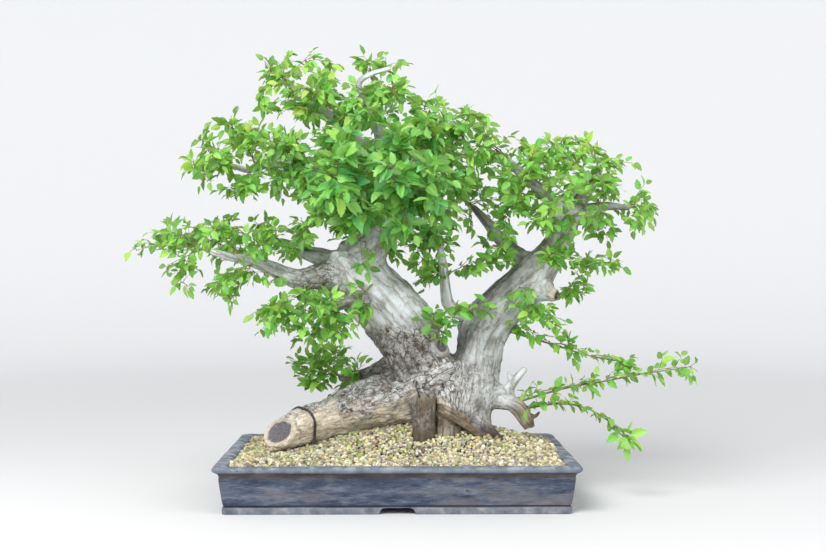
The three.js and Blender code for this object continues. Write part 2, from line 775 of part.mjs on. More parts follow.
// The points of one shoot: a bowed rib, alternate leaves cut to it, and a leaf at its end. Each leaf is flat
// on top and hangs a little, with one keel point under its middle. The rib has a keel too.
function shootShape({ start, tip, reach, roll, seed }) {
  const whole = start.distanceTo(tip) * reach;
  const goal = start.clone().lerp(tip, reach * (1 - LEAF.length * LEAF.last / whole));
  const length = start.distanceTo(goal);
  const ribPoint = (at) => bowed(start, goal, BLADE.arch, at);
  const ahead = goal.clone().sub(start).normalize();
  const side = ahead.clone().cross(UP).normalize().applyAxisAngle(ahead, THREE.MathUtils.degToRad(roll));
  const normal = side.clone().cross(ahead);
  const points = [];
  const normals = [];
  const top = [];
  const under = [];
  const add = (point, facing) => {
    points.push(point);
    normals.push(facing);
    return points.length - 1;
  };
  const beside = (at, hand) => ribPoint(at).addScaledVector(side, hand * BLADE.halfRib);
  const edge = (at, hand) => ({ at, id: add(beside(at, hand), normal) });
  const keel = (at) => ({ at, id: add(ribPoint(at).addScaledVector(normal, -BLADE.keel), normal) });
  const left = [edge(0, -1)];
  const right = [edge(0, 1)];
  const middle = [keel(0)];
  under.push([left[0].id, middle[0].id, right[0].id]);
  const addLeaf = (base, direction, hand, size, from, to) => {
    const across = normal.clone().cross(direction).normalize().multiplyScalar(hand);
    const facing = direction.clone().cross(across).multiplyScalar(hand).normalize();
    const [a, b, c, d] = LEAF_OUTLINE.map(([along, out]) => {
      const point = base.clone().addScaledVector(direction, along * size);
      return add(point.addScaledVector(across, out * size), facing);
    });
    const low = base.clone().addScaledVector(direction, LEAF_MIDDLE * size);
    const keelPoint = add(low.addScaledVector(facing, -LEAF.keel), facing);
    const turn = ([p, q, r]) => (hand > 0 ? [p, q, r] : [p, r, q]);
    top.push(...[[from, a, d], [from, d, to], [a, b, d], [b, c, d]].map(turn));
    const round = [[from, a], [a, b], [b, c], [c, d], [d, to]];
    under.push(...round.map(([p, q]) => turn([q, p, keelPoint])));
    return keelPoint;
  };
  const room = length - BLADE.first;
  const count = THREE.MathUtils.clamp(Math.round(room / LEAF.spacing), BLADE.fewest, BLADE.most);
  for (let k = 0; k < count; k += 1) {
    const draw = seed * 31 + k * 7;
    const hand = (k + seed) % 2 === 0 ? 1 : -1;
    const at = (BLADE.first + room * (k + 0.35) / count) / length;
    const angle = THREE.MathUtils.degToRad(LEAF.angle + 8 * (chance(draw) - 0.5));
    const direction = ahead.clone().multiplyScalar(Math.cos(angle));
    direction.addScaledVector(side, hand * Math.sin(angle));
    direction.z -= 0.15 + 0.55 * chance(draw + 1);
    direction.normalize();
    const size = LEAF.length * (1 - LEAF.shrink * chance(draw + 2));
    const near = edge(at - LEAF.stalk / length, hand);
    const far = edge(at + LEAF.stalk / length, hand);
    middle.push(keel(at));
    near.leaf = addLeaf(beside(at, hand), direction, hand, size, near.id, far.id);
    (hand > 0 ? right : left).push(near, far);
  }
  right.push(edge(1, 1));
  left.push(edge(1, -1));
  middle.push(keel(1));
  const droop = ahead.clone();
  droop.z -= 0.25 + 0.3 * chance(seed * 31 + 5);
  const size = LEAF.length * (1 - 0.5 * LEAF.shrink * chance(seed * 31 + 6));
  const last = addLeaf(ribPoint(1), droop.normalize(), 1, size, right.at(-1).id, left.at(-1).id);
  under.push([right.at(-1).id, middle.at(-1).id, last], [middle.at(-1).id, left.at(-1).id, last]);
  strip(left, right, (a, b, c) => top.push([a.id, b.id, c.id]));
  const fillUnder = (a, b, c) => {
    const stalk = [[a, c], [b, c]].find(([from, to]) => from.leaf !== undefined && to.leaf === undefined
      && to.id === from.id + 1);
    if (stalk) {
      const other = a === stalk[0] ? b : a;
      const [from, to] = stalk;
      const pairs = a === from ? [[from, other], [other, to]] : [[other, from], [to, other]];
      under.push(...pairs.map(([p, q]) => [p.id, from.leaf, q.id]));
    } else {
      under.push([a.id, c.id, b.id]);
    }
  };
  strip(left, middle, fillUnder);
  strip(middle, right, fillUnder);
  return { points, normals, top, under };
}

function shootSolid(shape) {
  return solid(shape.points, [...shape.top, ...shape.under]);
}

// The space that a shoot needs: the same blades, made thicker by the clearance on both sides.
function shootRoom(shape) {
  const points = shape.points.map((point, i) => (
    point.clone().addScaledVector(shape.normals[i], -LEAF.keel / 2)));
  return sheet(points, shape.normals, shape.top, LEAF.keel + 2 * CLEARANCE);
}

// How much of one solid lies in another.
function shared(first, second) {
  const a = first.boundingBox();
  const b = second.boundingBox();
  const apart = [0, 1, 2].some((axis) => a.min[axis] > b.max[axis] || b.min[axis] > a.max[axis]);
  return apart ? 0 : first.intersect(second).volume();
}

// Grows every shoot in the first roll and reach that is clear of all the other pieces and shoots.
function growSprays(woodRoom, others) {
  const plans = SPRAYS.map(sprayPlan);
  const stems = plans.map((plan) => stemSolid(plan.path, STEM.root, STEM.end));
  const stemRooms = plans.map((plan) => stemSolid(plan.path, STEM.root + CLEARANCE, STEM.end + CLEARANCE));
  const shoots = plans.map(() => []);
  const tries = REACHES.flatMap((reach) => ROLLS.map((roll) => ({ reach, roll })));
  const isClear = (room, i) => shared(room, woodRoom) === 0
    && others.every((other) => shared(room, other) === 0)
    && stemRooms.every((stem, j) => j === i || shared(room, stem) === 0)
    && shoots.every((list, j) => list.every((grown) => shared(room, grown) <= (j === i ? BLADE.joint : 0)));
  plans.forEach((plan, i) => {
    plan.shoots.forEach((shoot, k) => {
      const seed = i * 5 + k;
      for (const { reach, roll } of tries) {
        const turned = roll + 22 * (chance(seed + 900) - 0.5);
        const shape = shootShape({ ...shoot, reach, roll: turned, seed });
        if (isClear(shootRoom(shape), i)) {
          shoots[i].push(shootSolid(shape));
          break;
        }
      }
    });
  });
  const places = {};
  return SPRAYS.map((spray, i) => {
    places[spray.limb] = (places[spray.limb] ?? 0) + 1;
    const whole = shoots[i].reduce((body, shoot) => body.add(shoot), stems[i]);
    return { name: `spray_${spray.limb}_${places[spray.limb]}`, body: largest(whole.subtract(woodRoom)) };
  });
}

// The whole model

const model = new THREE.Group();
const wood = makeWood();
const woodRoom = makeWood(CLEARANCE);
const wire = makeWire();
const soil = makeSoil(woodRoom, makeWire(CLEARANCE));

model.add(mesh('pot', makePot(), MATERIALS.stoneware));
for (const [name, side] of [['drain_screen_left', -1], ['drain_screen_right', 1]]) {
  const screen = mesh(name, makeScreen(), MATERIALS.plastic);
  screen.position.x = side * POT.drain.spread;
  model.add(screen);
}
model.add(mesh('soil', soil, MATERIALS.granules));
model.add(mesh('tree', wood, MATERIALS.wood));
model.add(mesh('tie_wire', wire, MATERIALS.wire));
for (const { name, body } of growSprays(woodRoom, [soil, wire])) {
  model.add(mesh(name, body, MATERIALS.leaf));
}

const box = new THREE.Box3().setFromObject(model);
const middle = box.getCenter(new THREE.Vector3());
model.position.set(-middle.x, -middle.y, -box.min.z);

export default model;
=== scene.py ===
# Oriental hornbeam bonsai in a stoneware tray: the looks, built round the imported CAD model.
# Shapes are worked out in millimetres with x 0, y 0 at the pot's middle, +Z up and the tree's front
# towards -y, as in the CAD source. make_piece() moves them into the shared frame, in metres.

import math

import bpy
import numpy as np
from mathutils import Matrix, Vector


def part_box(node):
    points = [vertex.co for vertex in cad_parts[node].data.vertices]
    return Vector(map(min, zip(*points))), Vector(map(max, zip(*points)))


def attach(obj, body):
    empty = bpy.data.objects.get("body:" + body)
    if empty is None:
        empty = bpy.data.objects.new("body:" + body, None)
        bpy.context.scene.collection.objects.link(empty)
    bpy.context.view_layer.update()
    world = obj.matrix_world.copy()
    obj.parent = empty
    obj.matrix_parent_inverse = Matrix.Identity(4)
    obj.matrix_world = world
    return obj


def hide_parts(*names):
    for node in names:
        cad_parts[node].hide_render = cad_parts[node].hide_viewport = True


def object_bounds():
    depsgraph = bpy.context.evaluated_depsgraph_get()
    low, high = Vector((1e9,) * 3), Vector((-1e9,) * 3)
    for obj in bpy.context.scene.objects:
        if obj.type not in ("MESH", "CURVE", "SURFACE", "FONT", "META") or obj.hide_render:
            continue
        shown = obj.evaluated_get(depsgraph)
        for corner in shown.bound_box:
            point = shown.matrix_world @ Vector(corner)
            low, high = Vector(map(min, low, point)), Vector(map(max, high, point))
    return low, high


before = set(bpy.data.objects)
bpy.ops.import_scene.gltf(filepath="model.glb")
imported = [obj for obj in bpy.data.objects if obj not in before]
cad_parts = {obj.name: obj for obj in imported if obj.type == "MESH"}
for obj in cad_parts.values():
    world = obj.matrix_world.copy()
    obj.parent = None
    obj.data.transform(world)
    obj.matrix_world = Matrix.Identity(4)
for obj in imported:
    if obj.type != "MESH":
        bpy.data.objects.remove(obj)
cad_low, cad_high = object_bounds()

MM = 0.001
POT_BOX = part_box("pot")
MIDDLE = np.array([(POT_BOX[0][0] + POT_BOX[1][0]) / 2, (POT_BOX[0][1] + POT_BOX[1][1]) / 2, 0.0])

# The photograph's camera, in the pot's frame
CAMERA_AT = (0.0, -1994.5, 361.6)
CAMERA_RIGHT = 0.71
CAMERA_DOWN = 0.456
CAMERA_LENS = 54.77

# Driving dimensions of the CAD, in millimetres. The tray's profiles go by the inset from the lip's edge
# and the height.

POT_LENGTH = 540.0
POT_DEPTH = 375.0
POT_CORNER = 17.0
POT_TIGHTEST = 8.0
POT_OUTSIDE = [
    (15, 0), (14.2, 1.2), (14.2, 9), (16.6, 10.4), (16.6, 12.2), (15, 13.2),
    (9.6, 51.5), (10.4, 55), (8.4, 59), (2, 61.6), (0, 63.6), (0, 66.8), (2.2, 69.5),
]
POT_LIP = [(4.6, 70.3), (11, 70.6), (17.5, 70.2), (21, 68.6), (23, 64)]
POT_INSIDE = [(23, 64), (31, 24), (34, 18.6), (37, 18)]
POT_UNDERSIDE = [(35, 8), (34.2, 5), (32, 0)]
NOTCH = {"half_top": 22.0, "half_foot": 28.0, "height": 9.5}
DRAIN = {"radius": 12.0, "spread": 130.0}

SOIL_LEVEL = 66.5
MOUND = {"x": 62.0, "y": 20.0, "z": 43.0, "along": 160.0, "across": 92.0}

WIRE = {"radius": 2.0, "along": 0.8, "arc": 1.95, "tuck": 12.0}

STEM = {"root": 2.6, "end": 1.7, "rise": 0.08}
LEAF_LENGTH = 31.0
BLADE_LONGEST = 105.0
BLADE_CLEAR = 6.0
BLADE_STAGGER = 0.22
BLADE_ARCH = 0.07

# Each limb of the wood: its flutes' depth, how rough, how brown and how dark it is at its foot and
# at its end, and its line as (x, y, z, radius). The darkness is partly dark bark and partly painted shade
# low down, under the crown and between limbs. A sawn limb also has how far its face lies past its end,
# the size of the callus round the face, which way it faces and how far it is moved.
BRANCH = dict(rough=(0.1, 0), brown=(0.2, 0.6), dark=(0.5, 0.6))
WOOD = {
    "stump": dict(flute=0.08, rough=(1, 1), brown=(0.2, 0.1), line=[
        (84, 30, 48, 63), (84, 30, 105, 58), (88, 28, 145, 56), (92, 25, 190, 48),
    ]),
    "log": dict(flute=0.05, rough=(0.9, 0.25), brown=(0.2, 0.85), cut=2.0, callus=4.0,
        face=(-0.42, -0.63, 0.65), shift=(4, 5, 1), line=[
        (62, 22, 159, 44), (7, 30, 145, 39), (-44, 42, 131, 34), (-93, 45, 121, 31), (-131, 34, 111, 30),
        (-158, 8, 104, 28), (-188, -26, 98, 26),
    ]),
    "left_trunk": dict(flute=0.07, rough=(1, 0), brown=(0.25, 0), dark=(1.15, -0.3), line=[
        (85, 28, 121, 56), (62, 26, 178, 55), (36, 24, 226, 54), (6, 20, 271, 52), (-26, 15, 308, 48),
        (-55, 10, 338, 42), (-76, 8, 361, 34),
    ]),
    "arm": dict(flute=0.05, rough=(0.9, 0.9), brown=(0, 0.25), line=[
        (104, 2, 203, 13), (70, -18, 190, 17), (36, -14, 172, 21), (0, 8, 153, 28), (-36, 24, 146, 35),
        (-70, 38, 134, 33),
    ]),
    "leader": dict(flute=0.06, rough=(1.6, 0.3), brown=(0.1, 0.5), dark=(0, 0.3), line=[
        (-60, 10, 338, 38), (-53, 8, 374, 34), (-34, 4, 405, 27), (-21, 0, 447, 20), (-15, -4, 494, 15),
        (-21, -4, 545, 12), (-34, 0, 593, 9), (-44, 2, 629, 6), (-37, 2, 653, 4),
    ]),
    "left_limb": dict(flute=0.06, rough=(3.2, 0.1), brown=(0.5, 0.1), dark=(0.45, 0), line=[
        (-56, 8, 342, 34), (-96, 2, 350, 26), (-126, -2, 343, 20), (-151, -6, 339, 16), (-174, -10, 345, 13),
        (-201, -14, 358, 11), (-232, -18, 369, 9), (-263, -22, 375, 6.5), (-290, -26, 383, 4.5),
    ]),
    "right_trunk": dict(flute=0.09, rough=(1, 0), brown=(0.1, 0.25), dark=(0.2, 0.6), line=[
        (102, 30, 105, 42), (113, 28, 161, 46), (124, 25, 213, 42), (135, 22, 255, 38), (161, 20, 293, 35),
        (196, 18, 327, 32), (226, 15, 359, 27), (252, 12, 393, 21), (270, 8, 425, 16), (287, 5, 456, 12),
        (304, 2, 485, 9), (317, 0, 510, 6),
    ]),
    "left_back_limb": dict(rough=(0.2, 0), brown=(0.3, 0.4), dark=(0.6, 0.7), line=[
        (-73, 25, 358, 26), (-109, 45, 371, 16), (-140, 65, 380, 12), (-168, 85, 391, 9), (-192, 100, 401, 6),
    ]),
    "upper_left_limb": dict(rough=(0.1, 0), brown=(0.2, 0.5), dark=(0.3, 0.2), line=[
        (-20, 2, 453, 17), (-57, 12, 479, 13), (-100, 18, 497, 11), (-148, 20, 515, 9), (-196, 15, 526, 7),
        (-235, 8, 514, 5.5), (-263, 4, 520, 4),
    ]),
    "top_left_limb": dict(rough=(0.1, 0), brown=(0.2, 0.5), dark=(0.3, 0.2), line=[
        (-16, -2, 510, 12), (-60, 12, 552, 10), (-100, 22, 596, 8), (-146, 16, 622, 6), (-175, 14, 655, 4),
    ]),
    "shoulder_limb": dict(BRANCH, brown=(0.2, 0.5), line=[
        (-16, -6, 472, 14), (12, -22, 504, 11), (43, -35, 539, 8), (66, -44, 569, 5),
    ]),
    "front_left_limb": dict(BRANCH, line=[
        (-28, -6, 430, 13), (-46, -44, 462, 9), (-58, -92, 466, 6.5), (-84, -135, 484, 4),
    ]),
    "front_right_limb": dict(BRANCH, line=[
        (-18, -8, 457, 12), (12, -48, 456, 8.5), (26, -98, 472, 6.5), (52, -140, 470, 4),
    ]),
    "back_left_limb": dict(BRANCH, line=[
        (-25, 14, 426, 14), (-44, 58, 476, 10), (-52, 108, 504, 7.5), (-80, 150, 544, 4.5),
    ]),
    "back_right_limb": dict(BRANCH, line=[
        (-21, 12, 447, 12), (10, 58, 488, 9), (32, 112, 504, 6.5), (72, 150, 534, 4),
    ]),
    "low_left_limb": dict(rough=(0.3, 0), brown=(0.4, 0.6), dark=(0.8, 0.9), line=[
        (-40, -10, 313, 14), (-70, -50, 305, 8), (-95, -75, 297, 6), (-120, -90, 288, 4.5),
    ]),
    "low_back_limb": dict(rough=(0.8, 0.2), brown=(0.4, 0.6), dark=(0.9, 0.7), line=[
        (-9, 50, 195, 22), (-39, 82, 184, 13), (-66, 100, 177, 9), (-93, 108, 175, 6),
    ]),
    "saddle_limb": dict(rough=(0.2, 0), brown=(0.1, 0.3), line=[
        (148, 20, 277, 20), (119, 15, 286, 13), (95, 12, 289, 11), (81, 10, 302, 9.5), (76, 8, 331, 8.5),
        (73, 5, 361, 7), (68, 0, 389, 5),
    ]),
    "right_inner_limb": dict(BRANCH, brown=(0.2, 0.5), line=[
        (268, 12, 418, 15), (247, 26, 467, 11), (221, 36, 493, 9.5), (191, 42, 520, 7.5), (167, 46, 543, 5),
    ]),
    "right_mid_limb": dict(BRANCH, brown=(0.2, 0.5), line=[
        (219, 22, 351, 22), (190, 48, 384, 12), (166, 62, 407, 10), (147, 70, 433, 8), (126, 74, 456, 5),
    ]),
    "right_out_limb": dict(BRANCH, brown=(0.2, 0.5), line=[
        (278, 4, 440, 12), (307, -12, 452, 8.5), (337, -20, 455, 6), (362, -24, 452, 4),
    ]),
    "right_front_limb": dict(BRANCH, line=[
        (252, 4, 396, 14), (256, -44, 428, 8.5), (244, -92, 440, 6), (244, -125, 464, 4),
    ]),
    "right_back_limb": dict(BRANCH, line=[
        (254, 20, 396, 14), (276, 62, 438, 9), (284, 112, 456, 6.5), (304, 145, 484, 4),
    ]),
    "right_stub": dict(rough=(0.3, 0.6), brown=(0.3, 0.9), cut=0.0, line=[
        (220, 14, 330, 24), (239, 4, 318, 12), (253, -4, 313, 9),
    ]),
    "upper_dead_stub": dict(rough=(0.6, 0.3), brown=(0.2, 0), line=[
        (146, 26, 156, 22), (172, 22, 155, 11.5), (183, 20, 170, 7.6), (193, 18, 183, 6.6),
        (203, 17, 194, 5.2),
    ]),
    "stub_spur": dict(rough=(0.3, 0.2), brown=(0.1, 0), line=[
        (185, 20, 172, 5), (180, 18, 184, 4), (179, 17, 191, 2.6),
    ]),
    "top_stub": dict(rough=(0.3, 0.1), brown=(0.1, 0), line=[
        (-46, 0, 622, 6), (-60, -8, 640, 4.6), (-58, -12, 653, 4.4), (-40, -16, 663, 3.8),
        (-12, -20, 671, 2.8),
    ]),
    "lower_dead_stub": dict(flute=0.07, rough=(0.7, 0.5), brown=(0.3, 1.5), dark=(0.1, 1.3), cut=0.0, line=[
        (155, 24, 149, 18), (180, 16, 142, 12.5), (196, 12, 132, 13), (206, 10, 116, 11.5),
        (211, 8, 101, 8.5),
    ]),
    "twiglet": dict(rough=(0.2, 0.2), brown=(1, 1), dark=(0.8, 0.8), line=[
        (208, 10, 122, 5), (220, 8, 121, 3), (226, 7, 127, 2.2),
    ]),
    "front_root": dict(flute=0.05, rough=(0.9, 0.45), brown=(0.7, 1.0), dark=(0.9, 1.4), line=[
        (55, 10, 186, 26), (43, -14, 158, 21), (41, -26, 132, 19), (41, -32, 104, 19), (41, -34, 78, 20),
    ]),
    "side_root": dict(rough=(0.5, 0.3), brown=(0.8, 1.1), dark=(0.6, 0.6), line=[
        (60, -22, 140, 8), (80, -34, 128, 6.2), (102, -36, 115, 5.8), (124, -28, 99, 6), (140, -18, 84, 6),
    ]),
    "knob": dict(flute=0.05, rough=(0.4, 0.1), brown=(0.4, 0.9), dark=(0, 0.6), cut=0.5, callus=3.5, line=[
        (48, 10, 222, 24), (61, -13, 230, 17), (68, -27, 235, 12),
    ]),
    "toe": dict(rough=(1.6, 1.6), brown=(-0.6, -0.9), dark=(0.3, 1.1), line=[
        (120, 4, 120, 22), (137, -10, 106, 12), (149, -19, 97, 9.5), (160, -26, 86, 7),
    ]),
}

# Each leafy spray: the limb it grows from, how far along it, and where its shoots end. The shoots of a
# trailing spray follow one another along one long stem.
SPRAYS = [
    ("left_limb", 1, [(-421, -34, 384), (-392, 0, 420), (-372, -60, 352)]),
    ("left_limb", 0.79, [(-322, 56, 433), (-381, 108, 410)]),
    ("left_limb", 0.7, [(-276, -84, 322), (-268, -24, 296)]),
    ("left_limb", 0.62, [(-245, -66, 422), (-213, -20, 430)]),
    ("left_limb", 0.52, [(-209, -58, 321), (-238, -96, 352)]),
    ("left_back_limb", 1, [(-241, 130, 418), (-218, 90, 444), (-269, 150, 368)]),
    ("left_back_limb", 0.7, [(-166, 150, 436), (-198, 160, 368)]),
    ("low_left_limb", 1, [(-183, -100, 282), (-145, -118, 259), (-199, -66, 299)]),
    ("low_left_limb", 0.7, [(-78, -118, 253), (-47, -128, 273), (-112, -130, 310)]),
    ("low_back_limb", 1, [(-164, 118, 189), (-152, 90, 162), (-135, 150, 207)]),
    ("low_back_limb", 0.7, [(-105, 150, 142)]),
    ("upper_left_limb", 1, [(-304, -6, 551), (-284, -30, 511)]),
    ("upper_left_limb", 0.82, [(-253, -26, 470), (-227, -60, 481)]),
    ("upper_left_limb", 0.78, [(-273, 30, 590), (-242, 70, 594)]),
    ("upper_left_limb", 0.55, [(-177, -66, 484), (-164, -80, 550)]),
    ("upper_left_limb", 0.6, [(-226, 100, 537), (-197, 110, 488)]),
    ("upper_left_limb", 0.3, [(-103, -70, 462)]),
    ("top_left_limb", 1, [(-222, 4, 672), (-168, 14, 706), (-128, -20, 694)]),
    ("top_left_limb", 0.6, [(-104, 60, 671), (-158, 90, 606)]),
    ("top_left_limb", 0.7, [(-150, -60, 598), (-121, -84, 625)]),
    ("leader", 1, [(-60, -10, 706), (12, 6, 690), (-20, 50, 690)]),
    ("leader", 0.88, [(7, -70, 627), (-69, -86, 613)]),
    ("leader", 0.84, [(-49, 90, 656), (4, 110, 622)]),
    ("shoulder_limb", 1, [(100, -50, 596), (48, -10, 622), (106, -100, 556)]),
    ("shoulder_limb", 0.7, [(46, -120, 567), (113, -30, 530)]),
    ("front_left_limb", 1, [(-115, -178, 497), (-83, -168, 529), (-97, -186, 444)]),
    ("front_left_limb", 0.6, [(-66, -148, 401), (-52, -122, 350), (-137, -132, 462)]),
    ("front_right_limb", 1, [(76, -184, 488), (33, -186, 519), (47, -186, 424)]),
    ("front_right_limb", 0.66, [(10, -150, 405), (96, -120, 421), (-11, -190, 490)]),
    ("back_left_limb", 1, [(-117, 196, 570), (-55, 190, 594), (-101, 210, 501)]),
    ("back_left_limb", 0.6, [(-136, 160, 481), (-44, 196, 458)]),
    ("back_right_limb", 1, [(112, 190, 559), (39, 200, 588), (61, 214, 494)]),
    ("saddle_limb", 1, [(54, -34, 414), (33, 40, 393), (88, 20, 441)]),
    ("saddle_limb", 0.72, [(128, -44, 372), (24, 66, 330)]),
    ("right_inner_limb", 1, [(139, 20, 556), (178, 70, 574), (137, 90, 520)]),
    ("right_inner_limb", 0.6, [(210, 0, 542), (189, -60, 469)]),
    ("right_mid_limb", 1, [(101, 90, 477), (119, 120, 418), (147, 40, 468)]),
    ("right_trunk", 1, [(318, -16, 556), (274, 24, 574), (376, 34, 526)]),
    ("right_trunk", 0.93, [(252, -50, 537), (351, 80, 503)]),
    ("right_out_limb", 1, [(402, -30, 452), (390, 22, 484), (374, -66, 422)]),
    ("right_out_limb", 0.4, [(322, -84, 492), (330, 44, 400)]),
    ("right_front_limb", 1, [(269, -160, 475), (209, -156, 487), (224, -170, 436)]),
    ("right_front_limb", 0.5, [(314, -104, 430), (184, -92, 424)]),
    ("right_back_limb", 1, [(350, 176, 509), (274, 180, 523), (335, 190, 451)]),
    ("right_stub", 0.9, [(306, -20, 318), (310, 10, 356)]),
    ("right_trunk", 0.4, [(266, -34, 250), (218, -84, 280)]),
    ("right_trunk", 0.3, [(240, 6, 238), (306, 0, 218), (362, -4, 208)], "trailing"),
    ("lower_dead_stub", 0.3, [(262, -4, 166), (324, -20, 179), (384, -34, 192), (456, -44, 204)], "trailing"),
    ("lower_dead_stub", 0.5, [(263, -20, 144), (314, -44, 130), (350, -62, 96)], "trailing"),
    ("knob", 0.8, [(88, -82, 287), (40, -62, 296)]),
    ("right_trunk", 0.45, [(190, -74, 312)]),
]

UP = np.array([0.0, 0.0, 1.0])


# Numbers: noise and small vector helpers

def fractions(seed):
    """A repeatable stream of random numbers."""
    return np.random.default_rng(seed)


def unit(v):
    return v / np.maximum(np.linalg.norm(v, axis=-1, keepdims=True), 1e-9)


def smoothstep(low, high, x):
    t = np.clip((x - low) / (high - low), 0.0, 1.0)
    return t * t * (3 - 2 * t)


def hashed(cell, seed):
    """A repeatable draw from 0 to 1 for each whole-number cell, an array of shape (..., 3)."""
    c = cell.astype(np.uint32)
    h = c[..., 0] * np.uint32(374761393) + c[..., 1] * np.uint32(668265263)
    h = h + c[..., 2] * np.uint32(2246822519) + np.uint32(seed * 3266489917 % 2**32)
    h = (h ^ (h >> np.uint32(13))) * np.uint32(1274126177)
    h = (h ^ (h >> np.uint32(16))) * np.uint32(2654435761)
    h = h ^ (h >> np.uint32(15))
    return (h & np.uint32(0xFFFFFF)).astype(np.float32) / float(0x1000000)


CORNERS = np.array([(i, j, k) for i in (0, 1) for j in (0, 1) for k in (0, 1)])
AROUND = np.array([(i, j, k) for i in (-1, 0, 1) for j in (-1, 0, 1) for k in (-1, 0, 1)])


def noise(points, seed):
    """Gradient noise, about -1 to 1, at points in units of its cell."""
    cell = np.floor(points).astype(np.int64)
    near = points - cell
    fade = near ** 3 * (near * (near * 6 - 15) + 10)
    total = np.zeros(len(points))
    for corner in CORNERS:
        at = cell + corner
        turn = 2 * np.pi * hashed(at, seed)
        lift = 2 * hashed(at, seed + 101) - 1
        flat = np.sqrt(np.maximum(1 - lift * lift, 0))
        gap = near - corner
        slope = gap[:, 0] * np.cos(turn) * flat + gap[:, 1] * np.sin(turn) * flat + gap[:, 2] * lift
        total += slope * np.prod(np.where(corner == 1, fade, 1 - fade), axis=1)
    return total * 1.6


def layered(points, octaves, seed):
    """Noise and finer octaves of it, each half as strong as the one before."""
    return sum(noise(points * 2 ** octave, seed + octave * 7) / 2 ** octave for octave in range(octaves))


def cracks(points, seed):
    """How far each point is from the nearest border between two cells, in cells."""
    cell = np.floor(points).astype(np.int64)
    near = points - cell
    first = np.full(len(points), 9.0)
    second = np.full(len(points), 9.0)
    for step in AROUND:
        at = cell + step
        seat = step + np.stack([hashed(at, seed), hashed(at, seed + 31), hashed(at, seed + 57)], axis=1)
        gap = np.linalg.norm(seat - near, axis=1)
        second = np.minimum(second, np.maximum(first, gap))
        first = np.minimum(first, gap)
    return second - first


# Meshes

def write_attributes(mesh, attributes):
    """Gives each point of a mesh its own values or vectors, which the materials read by name."""
    for key, values in attributes.items():
        kind, field = ("FLOAT_VECTOR", "vector") if values.ndim == 2 else ("FLOAT", "value")
        attribute = mesh.attributes.new(key, kind, "POINT")
        attribute.data.foreach_set(field, values.astype(np.float32).ravel())


def make_piece(name, points, faces, materials, smooth=True, attributes=None, material_ids=None):
    """A mesh object from points in millimetres. faces is a list of arrays of corner numbers."""
    mesh = bpy.data.meshes.new(name)
    mesh.vertices.add(len(points))
    mesh.vertices.foreach_set("co", (points * MM + MIDDLE).astype(np.float32).ravel())
    corners = np.concatenate([f.ravel() for f in faces]).astype(np.int32)
    sizes = np.concatenate([np.full(len(f), f.shape[1]) for f in faces])
    starts = np.concatenate([[0], np.cumsum(sizes)[:-1]]).astype(np.int32)
    mesh.loops.add(len(corners))
    mesh.loops.foreach_set("vertex_index", corners)
    mesh.polygons.add(len(sizes))
    mesh.polygons.foreach_set("loop_start", starts)
    if material_ids is not None:
        mesh.polygons.foreach_set("material_index", material_ids.astype(np.int32))
    mesh.polygons.foreach_set("use_smooth", np.full(len(sizes), smooth))
    write_attributes(mesh, attributes or {})
    mesh.update(calc_edges=True)
    mesh.validate()
    for material in materials:
        mesh.materials.append(material)
    piece = bpy.data.objects.new(name, mesh)
    bpy.context.collection.objects.link(piece)
    return piece


def apply_modifiers(piece):
    shaped = piece.evaluated_get(bpy.context.evaluated_depsgraph_get())
    piece.data = bpy.data.meshes.new_from_object(shaped)
    piece.modifiers.clear()


def settle(piece, slot, *nodes):
    """Declares a piece of the object: it stays still and stands for CAD nodes. slot is not used."""
    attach(piece, "root")
    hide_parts(*nodes)


def grid_faces(rows, columns, closed=False):
    """Quads between rows of points, each row with the same number of columns."""
    row = np.arange(rows - 1)[:, None]
    column = np.arange(columns if closed else columns - 1)[None, :]
    after = (column + 1) % columns
    a = row * columns + column
    b = row * columns + after
    return np.stack([a, b, b + columns, a + columns], axis=-1).reshape(-1, 4)


# Limbs

def catmull(points, at):
    """Points on a smooth line through points, at shares 0 to 1 of its spans, as the CAD draws it."""
    points = np.asarray(points, float)
    spans = len(points) - 1
    padded = np.vstack([2 * points[0] - points[1], points, 2 * points[-1] - points[-2]])
    place = np.clip(np.asarray(at) * spans, 0, spans - 1e-9)
    near = np.floor(place).astype(int)
    t = (place - near)[:, None]
    p0, p1, p2, p3 = (padded[near + i] for i in range(4))
    m1, m2 = (p2 - p0) / 2, (p3 - p1) / 2
    return (p1 * (2 * t ** 3 - 3 * t ** 2 + 1) + m1 * (t ** 3 - 2 * t ** 2 + t)
            + p2 * (3 * t ** 2 - 2 * t ** 3) + m2 * (t ** 3 - t ** 2))


def carried_axes(path):
    """Carries one side direction along a path without twisting it: (ahead, side, over) at each point."""
    ahead = np.empty_like(path)
    ahead[1:-1] = path[2:] - path[:-2]
    ahead[0] = path[1] - path[0]
    ahead[-1] = path[-1] - path[-2]
    ahead = unit(ahead)
    side = np.empty_like(path)
    last = np.array([1.0, 0, 0]) if abs(ahead[0, 2]) > 0.9 else UP
    for i, way in enumerate(ahead):
        last = last - way * last.dot(way)
        last = last / np.linalg.norm(last)
        side[i] = last
    return ahead, side, np.cross(ahead, side)


# Limbs that meet the wood before them in a tight crease, in millimetres of blend
TIGHT_BLENDS = {
    "right_trunk": 7.0, "front_root": 6.0, "side_root": 4.0, "twiglet": 3.0, "arm": 8.0, "toe": 7.0,
}
# How far apart two limbs lie in the bark's own coordinates, so that their grain differs
LIMB_SHIFT = 37.0


